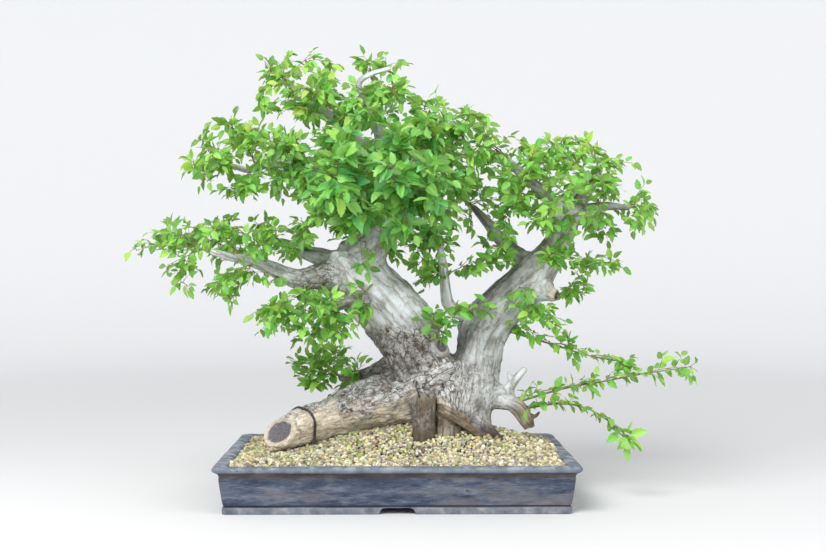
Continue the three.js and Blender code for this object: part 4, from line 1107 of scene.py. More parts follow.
class Spray:
    """Collects the twigs and leaves of one spray. home is its crown's middle, spacing how far apart its
    leaves are on main and side shoots, and swell how large they are against other sprays' leaves."""

    def __init__(self, seed, home):
        self.draw = fractions(seed)
        self.home = home
        self.spacing = (8.6, 7.4)
        self.swell = 1.0
        self.twigs = []
        self.leaves = []

    def twig(self, path, thick, thin, sides, young):
        self.twigs.append((path, np.linspace(thick, thin, len(path)), sides, young))

    def leaf(self, base, way, face, size, age):
        way = way / np.linalg.norm(way)
        face = face - way * face.dot(way)
        face = face / max(np.linalg.norm(face), 1e-6)
        self.leaves.append((base, way, face, size, age))

    def facing(self, point):
        """Which way the foliage turns its upper side at a point: up, and out of the crown."""
        out = float(np.clip((point[0] - self.home[0]) / 180, -1, 1))
        back = float(smoothstep(60, 130, point[1]))
        return unit(np.array([0.5 * out, 0.9 * back - 0.4, 1.0]))

    def shoot(self, start, tip, level, roll=0.0, bare=0.0, young=0.6, sides=(18.0, 20.0), last=15.0):
        """A rib with alternate leaves. At level 0 it has side shoots, sides being their spacing and least
        length. It stops last millimetres before the tip, and a share of it is bare."""
        draw = self.draw
        whole = np.linalg.norm(tip - start)
        goal = start + (tip - start) * max(0.3, 1 - last / whole)
        length = np.linalg.norm(goal - start)
        ahead = (goal - start) / length
        normal = self.facing(start) + draw.normal(0, 0.3, 3)
        normal = unit(normal - ahead * normal.dot(ahead))
        turn = roll + draw.normal(0, 0.25)
        normal = normal * math.cos(turn) + np.cross(ahead, normal) * math.sin(turn)
        side = np.cross(ahead, normal)
        wander = draw.normal(0, 0.035 * length, 2)
        at = np.linspace(0, 1, 3 if level else 5)
        path = bowed(start, goal, BLADE_ARCH, at)
        bend = np.sin(np.pi * at)[:, None]
        path = path + bend * (side * wander[0] + normal * wander[1])
        self.twig(path, 0.6 if level else 0.9, 0.34, 3, young)

        def place(share):
            i = min(int(share * (len(at) - 1)), len(at) - 2)
            t = share * (len(at) - 1) - i
            return path[i] + (path[i + 1] - path[i]) * t

        count = max(2, int(round(length * (1 - bare) / self.spacing[level])))
        hand = 1 if draw.random() < 0.5 else -1
        for k in range(count):
            share = bare + (1 - bare) * (k + 0.45 + draw.uniform(-0.15, 0.15)) / count
            hand = -hand
            base = place(share)
            angle = math.radians(draw.normal(56, 9))
            way = ahead * math.cos(angle) + side * hand * math.sin(angle)
            way = way + normal * draw.normal(0, 0.16)
            self.hang(base, way, normal, share)
        self.hang(place(1.0), ahead + side * draw.normal(0, 0.2), normal, 1.0)
        if level == 0:
            self.side_shoots(place, ahead, side, normal, length, bare, *sides)
        return path

    def side_shoots(self, place, ahead, side, normal, length, bare, spacing, least):
        draw = self.draw
        count = max(2, int(round(length * (1 - bare) / spacing)))
        hand = 1 if draw.random() < 0.5 else -1
        for k in range(count):
            hand = -hand
            share = bare + (0.92 - bare) * (k + draw.uniform(0.1, 0.7)) / count
            start = place(share)
            angle = math.radians(draw.uniform(32, 68))
            way = ahead * math.cos(angle) + side * hand * math.sin(angle)
            way = way + normal * draw.normal(0.05, 0.28)
            way = way / np.linalg.norm(way)
            reach = (0.62 - 0.3 * share) * min(length, 60) * draw.uniform(0.7, 1.15) + least
            self.shoot(start, start + way * reach, 1, draw.normal(0, 0.45), young=0.8)

    def hang(self, base, way, normal, share):
        """One leaf: it reaches out along way, hangs a little, and turns its face up and outwards."""
        draw = self.draw
        way = unit(unit(way) - UP * draw.uniform(-0.12, 0.45))
        face = normal * 0.8 + self.facing(base) * 0.4 + draw.normal(0, 0.42, 3)
        size = LEAF_LENGTH * draw.uniform(*LEAF_SIZES) * (1 - 0.2 * max(share - 0.6, 0) / 0.4) * self.swell
        for middle, half, gain in LARGE_LEAVES:
            size *= 1 + gain * nearness(base, middle, half)
        self.leaf(base + way * 0.09 * size, way, face, size, share)


def nearness(point, middle, half):
    """1 at a place's middle, falling to 0 round it."""
    return np.exp(-(((point - middle) / half) ** 2).sum(axis=-1))


def tube(path, radii, sides):
    ahead, side, over = carried_axes(path)
    angle = 2 * np.pi * np.arange(sides) / sides
    turn, lift = np.cos(angle)[None, :, None], np.sin(angle)[None, :, None]
    ring = side[:, None, :] * turn + over[:, None, :] * lift
    points = path[:, None, :] + ring * np.asarray(radii)[:, None, None]
    count = len(path)
    faces = grid_faces(count, sides, closed=True)[:, ::-1]
    points = np.concatenate([points.reshape(-1, 3), path[:1], path[-1:]])
    first, last = count * sides, count * sides + 1
    ends = [(first, i, (i + 1) % sides) for i in range(sides)]
    ends += [(last, last - 1 - sides + (i + 1) % sides, last - 1 - sides + i) for i in range(sides)]
    return points, faces, np.array(ends)


def leaf_points(leaves, template, draw):
    """Many blades at once: their points, each point's place on its blade, and its tone."""
    base, way, face, size, age = leaves
    across = np.cross(face, way)
    count = len(base)
    x, y = template[:, 0], template[:, 1]
    bend = draw.uniform(0.04, 0.34, (count, 1))
    fold = draw.uniform(0.05, 0.55, (count, 1))
    twist = draw.normal(0, 0.28, (count, 1))
    wave = draw.uniform(0.02, 0.12, (count, 1))
    phase = draw.uniform(0, 6.28, (count, 1))
    sway = draw.normal(0, 0.08, (count, 1))
    width = draw.uniform(0.9, 1.14, (count, 1))
    z = -bend * x ** 2 + fold * np.abs(y) + twist * y * x + wave * np.sin(9 * x + phase) * np.abs(y) * 2
    y = y * width + sway * x ** 2
    local = np.stack([np.broadcast_to(x, z.shape), y, z], axis=-1) * size[:, None, None]
    axes = np.stack([way, across, face], axis=1)
    points = base[:, None, :] + np.einsum("npk,nkj->npj", local, axes)
    share = np.abs(template[:, 1]) / np.maximum(half_width(np.clip(template[:, 0], 0.02, 0.98)), 0.02)
    blade = np.empty((count, len(template), 3))
    blade[..., 0] = template[:, 0]
    blade[..., 1] = np.clip(share, 0, 1) * np.sign(template[:, 1])
    blade[..., 2] = (nearness(base, *LARGE_LEAVES[0][:2]) ** 0.5 * draw.random(count))[:, None]
    # Painted light: leaves high in the crown take the ramp's lighter, yellower greens, as on a sunlit top
    high = 0.14 * smoothstep(440, 600, base[:, 2:])
    tone = np.empty((count, len(template), 3))
    tone[..., 0] = np.minimum(0.9 * draw.random((count, 1)) + high, 1)
    tone[..., 1] = draw.random((count, 1))
    tone[..., 2] = age[:, None]
    return points, blade, tone


def wood_gap(points):
    """Roughly how far points lie outside the wood, in millimetres, and far where the grid ends."""
    place = np.round((points - wood_origin) / PITCH).astype(int)
    inside = np.all((place >= 0) & (place < np.array(wood_grid.shape)), axis=-1)
    gap = np.full(points.shape[:-1], FAR)
    gap[inside] = wood_grid[tuple(place[inside].T)]
    return gap


def allowed(points, teeth):
    """Which leaves stay clear of wood and soil and inside the CAD's box."""
    tips = points[:, teeth]
    middle = points[:, teeth // 2]
    low = (np.array(cad_low) - MIDDLE) / MM - SPRAY_REACH
    high = (np.array(cad_high) - MIDDLE) / MM + SPRAY_REACH
    clear = (wood_gap(tips) > 2) & (wood_gap(middle) > 2)
    nearer = CAMERA_AT[1] / (CAMERA_AT[1] - middle[:, 1])
    seen_z = CAMERA_AT[2] + (middle[:, 2] - CAMERA_AT[2]) * nearer
    seen = np.column_stack([middle[:, 0] * nearer, seen_z])
    for start, end, half in OPENINGS:
        line = np.subtract(end, start)
        share = np.clip((seen - start) @ line / (line @ line), 0, 1)
        off = np.linalg.norm(seen - start - share[:, None] * line, axis=1)
        clear &= (off > half) | (middle[:, 1] > 0) | (hashed((tips * 10).astype(int), 9) < 0.1)
    full = nearness(middle, *CROWN_HEART) * 0.6 + (middle[:, 2] < 340) * (middle[:, 0] > -180)
    for flat, seed in ((tips * (1, 0, 1), 71), (tips * (0, 1, 1), 72)):
        clear &= noise(flat / (19, 19, 15), seed) > -0.3 - full
    inside = np.all((points.min(1) > low) & (points.max(1) < high), axis=1)
    over_pot = (np.abs(tips[:, 0]) < POT_LENGTH / 2) & (np.abs(tips[:, 1]) < POT_DEPTH / 2)
    above = ~over_pot | (points[..., 2].min(1) > soil_height(tips[:, 0], tips[:, 1]) + 8)
    return clear & inside & above


def grow_spray(number, name, plan):
    """A spray's stem and shoots as the CAD has them, with side shoots. Returns it with its lines."""
    limb_name, at, tips, *trailing = plan
    path, shoots = spray_plan(*plan)
    spray = Spray(1000 + number, LEFT_CROWN if tips[0][0] < CROWN_PARTS_AT else RIGHT_CROWN)
    spray.name, spray.limb, spray.at = name, limb_name, at
    settings = {}
    if trailing:
        spray.spacing, spray.swell = (10.0, 8.5), 1.05
        spray.twig(path, 1.9, 0.7, 6, 0.35)
        settings = dict(bare=0.04, sides=(15.0, 12.0), last=2.0)
    else:
        spray.twig(path, STEM["root"], 0.9 * STEM["end"], 6, 0.25)
    lines = [path]
    for start, tip in shoots:
        lines.append(spray.shoot(start, tip, 0, 0.25 * spray.draw.normal(), **settings))
    if trailing:
        for way in ((0.6, -0.4, 0.5), (0.75, -0.3, -0.5), (0.1, -0.5, -0.8)):
            spray.shoot(path[-1], path[-1] + 30 * np.array(way), 1)
    return spray, lines


def spray_mesh(spray, materials):
    leaves = [np.array(column) for column in zip(*spray.leaves)]
    points, faces, ids, blades, tones = [], [], [], [], []
    total = 0
    for teeth, template, template_faces in TEMPLATES:
        mine = (leaves[3] > FINE_FROM) == (teeth == FINE_TEETH)
        body, blade, tone = leaf_points([column[mine] for column in leaves], template, spray.draw)
        kept = allowed(body, teeth)
        firsts = total + np.arange(kept.sum()) * len(template)
        for rows, values in ((points, body), (blades, blade), (tones, tone)):
            rows.append(values[kept].reshape(-1, 3))
        faces.append((template_faces[None] + firsts[:, None, None]).reshape(-1, 3))
        ids.append(np.zeros(len(faces[-1])))
        total += len(points[-1])
    for line, radii, sides, young in spray.twigs:
        own, quads, ends = tube(line, radii, sides)
        points.append(own)
        faces += [quads + total, ends + total]
        ids += [np.ones(len(quads)), np.ones(len(ends))]
        blades.append(np.zeros((len(own), 3)))
        tones.append(np.tile([young, spray.draw.random(), 0], (len(own), 1)))
        total += len(own)
    attributes = {"blade": np.concatenate(blades), "tone": np.concatenate(tones)}
    piece = make_piece("foliage_" + spray.name, np.concatenate(points), faces, materials,
                       attributes=attributes, material_ids=np.concatenate(ids))
    settle(piece, "leaf", "spray_" + spray.name)


# The crown's masses, as the photograph shows them: middle, half size and how full each is
MASSES = {
    "top_left": ((-150, 5, 640), (80, 88, 60), 0.95),
    "top": ((-23, 0, 636), (60, 82, 52), 0.9),
    "between": ((-88, 0, 595), (50, 80, 36), 0.9),
    "upper_left": ((-228, 5, 528), (112, 112, 74), 0.8),
    "centre": ((-31, -20, 500), (140, 168, 118), 1.1),
    "shoulder": ((96, -20, 545), (66, 112, 74), 0.85),
    "left": ((-262, -5, 408), (142, 124, 34), 1.05),
    "left_tip": ((-408, -6, 388), (22, 16, 10), 1.5),
    "left_hanging": ((-280, -10, 345), (74, 84, 34), 0.4),
    "under_left": ((-130, -76, 287), (106, 78, 50), 0.9),
    "behind_log": ((-122, 105, 192), (76, 58, 42), 0.8),
    "right": ((246, 10, 488), (122, 152, 84), 0.95),
    "right_front": ((250, -62, 390), (46, 34, 34), 1.2),
    "right_tip": ((342, 5, 442), (82, 105, 38), 0.7),
    "right_low": ((318, 0, 362), (44, 70, 20), 0.6),
    "right_lower": ((278, -5, 314), (32, 44, 20), 0.6),
    "saddle": ((148, -20, 382), (54, 62, 40), 0.9),
    "centre_low": ((44, -10, 384), (58, 72, 50), 0.7),
    "front": ((-50, -95, 345), (28, 26, 24), 0.6),
    "fork": ((90, -60, 296), (50, 32, 22), 1.1),
    "right_fork": ((176, -66, 300), (38, 28, 22), 1.1),
    "right_under": ((232, -30, 258), (46, 42, 26), 0.7),
}
# Extra shoots: how far apart their ends are, how long one is, and how much of one bears leaves
TARGET_SPACING = 24.5
REACH_LEAST, REACH_MOST, LEAFY_REACH = 17.0, 125.0, 72.0
# They also grow from wood that is thinner and higher than this
SEAT_RADIUS, SEAT_HEIGHT = 24, 240


def crown_targets():
    """Where extra shoots end: an even scatter in the crown's masses, thinner inside them."""
    draw = fractions(77)
    places = []
    for middle, half, fullness in MASSES.values():
        middle, half = np.array(middle, float), np.array(half, float)
        count = int(0.6 * np.prod(half * 2 / TARGET_SPACING)) + 3
        spots = draw.uniform(-1, 1, (count * 3, 3))
        size = np.linalg.norm(spots, axis=1)
        spots = spots[(size < 1) & (draw.random(len(spots)) < fullness * (0.15 + 0.95 * size ** 2))]
        places.append(middle + spots * half)
    places = np.concatenate(places)
    draw.shuffle(places)
    kept = np.empty((0, 3))
    for place in places:
        if not len(kept) or np.min(np.linalg.norm(kept - place, axis=1)) > TARGET_SPACING:
            kept = np.vstack([kept, place])
    return kept


def fill_crown(sprays, lines):
    """Grows a shoot to each target from the nearest wood or shoot, nearest target first."""
    seats, owners = [], []
    for number, spray_lines in enumerate(lines):
        for line in spray_lines:
            seats.append(line[1:])
            owners += [number] * (len(line) - 1)
    for limb in LIMBS.values():
        mates = [i for i, spray in enumerate(sprays) if spray.limb == limb.name]
        for point, radius, at in zip(limb.path, limb.radius, limb.at):
            if mates and radius < SEAT_RADIUS and point[2] > SEAT_HEIGHT:
                seats.append(point[None])
                owners.append(min(mates, key=lambda i: abs(sprays[i].at - at)))
    seats, owners = np.concatenate(seats), np.array(owners)
    targets = crown_targets()
    gap = np.full(len(targets), np.inf)
    seat = np.zeros(len(targets), int)

    def note(first):
        """Takes the seats from the first one on into account. A shoot would rather not grow downwards."""
        new = seats[first:]
        off = np.linalg.norm(new[None] - targets[:, None], axis=2)
        off = np.where(new[None, :, 2] > targets[:, 2, None] + 30, off * 1.25, off)
        best = off.argmin(axis=1)
        near = off[np.arange(len(targets)), best]
        better = near < gap
        gap[better] = near[better]
        seat[better] = first + best[better]

    note(0)
    is_open = np.ones(len(targets), bool)
    while is_open.any():
        i = int(np.argmin(np.where(is_open, gap, np.inf)))
        is_open[i] = False
        if gap[i] > REACH_MOST:
            break
        if gap[i] < REACH_LEAST:
            continue
        owner = owners[seat[i]]
        spray = sprays[owner]
        bare = max(0.0, 1 - LEAFY_REACH / gap[i]) + 0.05
        line = spray.shoot(seats[seat[i]], targets[i], 0, spray.draw.normal(0, 0.5), bare, 0.5)
        first = len(seats)
        seats = np.vstack([seats, line[1:]])
        owners = np.concatenate([owners, np.full(len(line) - 1, owner)])
        note(first)


def leaf_material():
    n = Nodes("hornbeam_leaf")
    along, across, cool = n.parts(n.attribute("blade", "Vector"))
    hue, light, age = n.parts(n.attribute("tone", "Vector"))
    off = n.math("ABSOLUTE", across)
    phase = n.math("FRACT", n.times(n.minus(along, n.times(off, 0.17)), 11.0))
    rib = n.spread(n.math("ABSOLUTE", n.minus(phase, 0.5)), 0.0, 0.5)
    midrib = n.spread(off, 0.03, 0.13, 1.0, 0.0)
    veins = n.math("MAXIMUM", n.times(n.spread(rib, 0.82, 1.0), 0.7), midrib)
    spots = n.noise(n.position(), 320.0, 3.0, 0.6)
    green = n.ramp(hue, (0.0, (0.08, 0.40, 0.06)), (0.35, (0.16, 0.56, 0.07)),
                   (0.7, (0.28, 0.69, 0.085)), (0.93, (0.45, 0.77, 0.10)), (1.0, (0.64, 0.72, 0.10)))
    green = n.mix(n.times(cool, 0.85), green, (0.11, 0.56, 0.25))
    # Young leaves are yellower; a random share of the leaves, those with a low light value, is darkened as
    # painted shade; spots are stained.
    green = n.stained(green, (age, 0.6, 1.0, 0.45, (0.40, 0.66, 0.13)),
                      (light, 0.7, 0.0, 0.78, (0.06, 0.16, 0.022)),
                      (spots, 0.5, 0.75, 0.25, (0.30, 0.40, 0.06)))
    colour = n.mix(n.times(veins, 0.34), green, (0.52, 0.70, 0.24))
    normal = n.bump(n.plus(n.times(rib, -0.6), n.times(spots, 0.3)), 0.5, 0.0009)
    n.set(Base_Color=colour, Roughness=0.33, Specular_IOR_Level=0.6, Normal=normal)
    lit = n.mix(0.5, colour, (0.50, 0.76, 0.08))
    through = n.add("ShaderNodeBsdfTranslucent", {"Color": lit, "Normal": normal})
    blend = n.add("ShaderNodeMixShader", {0: 0.34, 1: n.shader.outputs[0], 2: through})
    n.link(blend, n.tree.nodes["Material Output"].inputs["Surface"])
    return n.material


def twig_material():
    n = Nodes("hornbeam_twig")
    young = n.parts(n.attribute("tone", "Vector"))[0]
    grain = n.noise(n.position(), 480.0, 3.0, 0.6)
    old = n.ramp(grain, (0.3, (0.11, 0.085, 0.065)), (0.7, (0.34, 0.29, 0.24)))
    fresh = n.ramp(grain, (0.3, (0.17, 0.10, 0.035)), (0.7, (0.30, 0.22, 0.07)))
    n.set(Base_Color=n.mix(young, old, fresh), Roughness=0.7, Normal=n.bump(grain, 0.4, 0.0005))
    return n.material


def make_sprays():
    materials = [leaf_material(), twig_material()]
    places = {}
    sprays, lines = [], []
    for number, plan in enumerate(SPRAYS):
        places[plan[0]] = places.get(plan[0], 0) + 1
        spray, own = grow_spray(number, f"{plan[0]}_{places[plan[0]]}", plan)
        sprays.append(spray)
        lines.append(own)
    fill_crown(sprays, lines)
    for spray in sprays:
        spray_mesh(spray, materials)


# Pot

# Steps along a long side, a short side and a corner of the tray, and of the bed in it
RING_STEPS = (68, 46, 7)
BED_STEPS = (46, 32, 3)
PROFILE_STEP, INSIDE_STEP = 3.0, 9.0
# Chips in the edges: the middle, which way each runs, which way it opens, and half its size each way
CHIPS = [
    ((102, -175.2, 34.5), (0.84, 0, -0.54), (0.54, 0, 0.84), (4.6, 1.5, 1.7)),
    ((107, -175.4, 29), (0.84, 0, -0.54), (0.54, 0, 0.84), (1.8, 1.0, 1.0)),
    ((-231, -187.3, 65), (1, 0.1, 0.2), (0, 0, 1), (3.0, 1.6, 1.4)),
]


def rounded_ring(inset, z, steps):
    """A level ring at an inset from the lip's edge: its points, counter-clockwise seen from above."""
    long_steps, deep_steps, round_steps = steps
    corner = max(POT_CORNER - inset, POT_TIGHTEST)
    half = np.array([POT_LENGTH / 2, POT_DEPTH / 2]) - inset - corner
    arcs = []
    for i, hands in enumerate([(1, -1), (1, 1), (-1, 1), (-1, -1)]):
        angle = math.pi / 2 * (i - 1) + np.linspace(0, math.pi / 2, round_steps + 1)
        arcs.append(hands * half + corner * np.column_stack([np.cos(angle), np.sin(angle)]))
    points = []
    for i, arc in enumerate(arcs):
        count = long_steps if i % 2 else deep_steps
        share = np.arange(1, count)[:, None] / count
        points += [arc, arc[-1] + (arcs[(i + 1) % 4][0] - arc[-1]) * share]
    flat = np.concatenate(points)
    return np.column_stack([flat, np.full(len(flat), z)])


def loft(rings):
    """A closed skin through rings of equal length, its two ends capped round their middles."""
    rings = np.array(rings)
    count, size = rings.shape[:2]
    points = np.concatenate([rings.reshape(-1, 3), rings[:1].mean(1), rings[-1:].mean(1)])
    around = np.arange(size)
    after = (around + 1) % size
    last = (count - 1) * size
    bottom = np.column_stack([np.full(size, count * size), after, around])
    top = np.column_stack([np.full(size, count * size + 1), last + around, last + after])
    return points, [grid_faces(count, size, closed=True), np.concatenate([bottom, top])]


def softened(line, times, share=0.2):
    """Cuts the corners off a profile."""
    line = np.array(line, float)
    for _ in range(times):
        step = np.diff(line, axis=0)
        cut = np.stack([line[:-1] + share * step, line[1:] - share * step], axis=1).reshape(-1, 2)
        line = np.concatenate([line[:1], cut, line[-1:]])
    return line


def divided(line, longest):
    """Adds points to a profile until no step is longer than the longest."""
    rows = [line[:1]]
    for a, b in zip(line[:-1], line[1:]):
        count = max(1, math.ceil(np.linalg.norm(b - a) / longest))
        rows.append(a + (b - a) * (np.arange(1, count + 1) / count)[:, None])
    return np.concatenate(rows)


def carve(piece, shapes):
    """Takes closed shapes out of a piece."""
    points, faces, total = [], [], 0
    for shape_points, shape_faces in shapes:
        points.append(shape_points)
        faces += [f + total for f in shape_faces]
        total += len(shape_points)
    cutter = make_piece("cutter", np.concatenate(points), faces, [])
    modifier = piece.modifiers.new("carve", "BOOLEAN")
    modifier.operation = "DIFFERENCE"
    modifier.solver = "MANIFOLD"
    modifier.object = cutter
    apply_modifiers(piece)
    bpy.data.objects.remove(cutter)


def chip(middle, ahead, over, half):
    """A small splinter of space, pointed at both ends, that leaves a chip where it is taken out."""
    middle, ahead, over = np.array([middle, ahead, over], float)
    ahead = unit(ahead)
    across = np.cross(ahead, over)
    angle = 2 * np.pi * np.arange(7) / 7
    round_it = half[1] * np.cos(angle)[:, None] * over + half[2] * np.sin(angle)[:, None] * across
    rings = []
    for share, swell in ((-1, 0.08), (-0.6, 0.75), (-0.1, 1.0), (0.4, 0.7), (1, 0.06)):
        rings.append(middle + share * half[0] * ahead + swell * round_it)
    return loft(rings)


def notch():
    """The space of the notches in the front and the back of the foot, right through the tray."""
    foot, top, height = NOTCH["half_foot"], NOTCH["half_top"], NOTCH["height"]
    right = [(foot + 1, -2), (foot, 0), (top, height)]
    outline = softened(right + [(-x, z) for x, z in right[::-1]], 1, 0.12)[::-1]
    return loft([np.column_stack([outline[:, 0], np.full(len(outline), y), outline[:, 1]])
                 for y in (-200.0, 200.0)])


def drain_hole(x):
    angles = np.linspace(0, 2 * math.pi, 33)[:-1]
    ring = np.array([(math.cos(a), math.sin(a), 0) for a in angles]) * DRAIN["radius"]
    return loft([ring + (x, 0, z) for z in (4.0, 25.0)])


def make_pot():
    """The tray: its profile turned round, uneven as if made by hand, with holes, notches and chips."""
    upper = divided(softened(POT_OUTSIDE + POT_LIP, 2), PROFILE_STEP)
    inner = divided(np.array(POT_INSIDE, float), INSIDE_STEP)[1:]
    profile = np.concatenate([POT_UNDERSIDE, upper, inner])
    points, faces = loft([rounded_ring(inset, z, RING_STEPS) for inset, z in profile])
    sway = 0.55 * layered(points / 60.0, 2, seed=41) + 0.12 * layered(points / 14.0, 2, seed=42)
    hand_made = smoothstep(0.5, 5.0, points[:, 2])
    points = points + point_normals(points, faces[0]) * (sway * hand_made)[:, None]
    piece = make_piece("stoneware_tray", points, faces, [])
    carve(piece, [drain_hole(side * DRAIN["spread"]) for side in (-1, 1)] + [notch()]
          + [chip(*place) for place in CHIPS])
    piece.data.materials.clear()
    piece.data.materials.append(stoneware_material())
    piece.data.polygons.foreach_set("use_smooth", np.ones(len(piece.data.polygons), bool))
    piece.data.set_sharp_from_angle(angle=math.radians(38))
    settle(piece, "stoneware", "pot")


def stoneware_material():
    n = Nodes("unglazed_stoneware")
    place = n.position()
    height = n.parts(place)[2]
    drawn = n.stretch(place, (1, 1, 4.5))
    streak = n.noise(drawn, 24.0, 8.0, 0.70)
    scratch = n.noise(n.stretch(place, (0.35, 0.35, 4)), 190.0, 5.0, 0.72)
    mottle = n.noise(place, 55.0, 5.0, 0.62)
    stain = n.noise(drawn, 5.5, 4.0, 0.6)
    grit = n.noise(place, 1100.0, 2.0, 0.6)
    wall = n.ramp(streak, (0.37, (0.021, 0.031, 0.055)), (0.47, (0.043, 0.063, 0.104)),
                  (0.56, (0.083, 0.107, 0.152)), (0.70, (0.18, 0.187, 0.214)))
    wall = n.stained(wall, (stain, 0.50, 0.64, 0.55, (0.16, 0.145, 0.145)),
                     (stain, 0.50, 0.38, 0.55, (0.022, 0.034, 0.062)),
                     (scratch, 0.54, 0.72, 0.6, (0.24, 0.235, 0.235)),
                     (scratch, 0.46, 0.32, 0.6, (0.018, 0.022, 0.032)))
    lip = n.ramp(mottle, (0.32, (0.095, 0.112, 0.142)), (0.5, (0.14, 0.162, 0.20)),
                 (0.68, (0.20, 0.22, 0.25)))
    band = n.ramp(streak, (0.35, (0.042, 0.036, 0.034)), (0.52, (0.085, 0.068, 0.062)),
                  (0.7, (0.17, 0.13, 0.11)))
    skirt = n.ramp(mottle, (0.32, (0.085, 0.10, 0.125)), (0.52, (0.155, 0.17, 0.195)),
                   (0.7, (0.30, 0.295, 0.29)))
    in_band = n.times(n.spread(height, 0.0525, 0.0545), n.spread(height, 0.0600, 0.0618, 1.0, 0.0))
    # Painted shade: the groove above the skirt is painted near black
    painted_groove_shade = n.times(n.spread(height, 0.0098, 0.0110), n.spread(height, 0.0128, 0.0140, 1.0, 0.0))
    worn = n.times(n.spread(height, 0.0662, 0.0690), n.spread(mottle, 0.46, 0.6))
    colour = n.mix(n.spread(height, 0.0608, 0.0632), wall, lip)
    colour = n.mix(n.times(in_band, 0.85), colour, band)
    colour = n.mix(n.spread(height, 0.0105, 0.0092), colour, skirt)
    # Painted shade in the groove
    colour = n.mix(n.times(painted_groove_shade, 0.8), colour, (0.015, 0.016, 0.02))
    colour = n.mix(n.times(worn, 0.5), colour, (0.33, 0.35, 0.38))
    colour = n.stained(colour, (grit, 0.60, 0.75, 0.35, (0.04, 0.045, 0.055)))
    relief = n.plus(n.plus(n.times(grit, 0.35), n.times(scratch, 0.9)), n.times(mottle, 0.8))
    n.set(Base_Color=colour, Roughness=n.spread(mottle, 0.3, 0.7, 0.78, 0.55), Specular_IOR_Level=0.35,
          Normal=n.bump(relief, 0.35, 0.0012))
    return n.material


# Soil

GRAIN_PITCH = 5.15
GRAIN_SIZE = {"mean": 3.25, "spread": 0.55, "least": 2.1, "most": 5.2}
LOOSE_GRAINS, LOOSE_HALF = 700, (246, 164)
# The bed's wall as (inset from the lip's edge, height), the inset of its top, and how far it lies below
# the soil's CAD surface
BED_WALL = [(36.0, 20.2), (31.6, 24.6), (26.6, 50)]
BED_MARGIN = 23.9
BED_DROP = 3.4


def soil_height(x, y):
    """The soil's surface in the CAD: level, with a mound at the tree."""
    along = np.abs((x - MOUND["x"]) / MOUND["along"]) ** 2.4
    across = ((y - MOUND["y"]) / MOUND["across"]) ** 2
    return SOIL_LEVEL + MOUND["z"] * np.exp(-along - across)


def in_tray(x, y, inset):
    """How far level points lie inside the tray's wall at an inset, in millimetres."""
    corner = max(POT_CORNER - inset, POT_TIGHTEST)
    over_x = np.abs(x) - (POT_LENGTH / 2 - inset - corner)
    over_y = np.abs(y) - (POT_DEPTH / 2 - inset - corner)
    outside = np.hypot(np.maximum(over_x, 0), np.maximum(over_y, 0))
    return corner - outside - np.minimum(np.maximum(over_x, over_y), 0)


def make_bed():
    """The packed soil under the loose granules, as one closed shape."""
    rim = rounded_ring(BED_MARGIN, 0.0, BED_STEPS)
    rings = [rounded_ring(inset, z, BED_STEPS) for inset, z in BED_WALL]
    for share in np.linspace(1, 0.02, 44):
        ring = rim * share
        bumps = 1.3 * layered(np.column_stack([ring[:, :2] / 9.0, np.full(len(ring), 3.0)]), 2, seed=51)
        ring[:, 2] = soil_height(ring[:, 0], ring[:, 1]) - BED_DROP + bumps
        rings.append(ring)
    points, faces = loft(rings)
    piece = make_piece("soil_bed", points, faces, [bed_material()])
    settle(piece, "granules", "soil")


def crumb():
    """A regular solid of 20 faces."""
    g = (1 + 5 ** 0.5) / 2
    points = [(-1, g, 0), (1, g, 0), (-1, -g, 0), (1, -g, 0), (0, -1, g), (0, 1, g), (0, -1, -g), (0, 1, -g),
              (g, 0, -1), (g, 0, 1), (-g, 0, -1), (-g, 0, 1)]
    faces = [(0, 11, 5), (0, 5, 1), (0, 1, 7), (0, 7, 10), (0, 10, 11), (1, 5, 9), (5, 11, 4), (11, 10, 2),
             (10, 7, 6), (7, 1, 8), (3, 9, 4), (3, 4, 2), (3, 2, 6), (3, 6, 8), (3, 8, 9), (4, 9, 5),
             (2, 4, 11), (6, 2, 10), (8, 6, 7), (9, 8, 1)]
    return unit(np.array(points, float)), np.array(faces)


def grain_places(draw):
    """Where the granules lie: a jittered layer all over, and a few on top of it."""
    x = np.arange(-POT_LENGTH / 2, POT_LENGTH / 2, GRAIN_PITCH)
    y = np.arange(-POT_DEPTH / 2, POT_DEPTH / 2, GRAIN_PITCH * 0.9)
    spots = np.stack(np.meshgrid(x, y, indexing="ij"), axis=-1)
    spots[:, ::2, 0] += GRAIN_PITCH / 2
    spots = spots.reshape(-1, 2) + draw.normal(0, 1.15, (spots.shape[0] * spots.shape[1], 2))
    lifts = draw.normal(0, 0.9, len(spots))
    loose = np.column_stack([draw.uniform(-half, half, LOOSE_GRAINS) for half in LOOSE_HALF])
    spots = np.concatenate([spots, loose])
    lifts = np.concatenate([lifts, draw.uniform(2.6, 4.2, len(loose))])
    return np.column_stack([spots, soil_height(spots[:, 0], spots[:, 1]) + lifts])


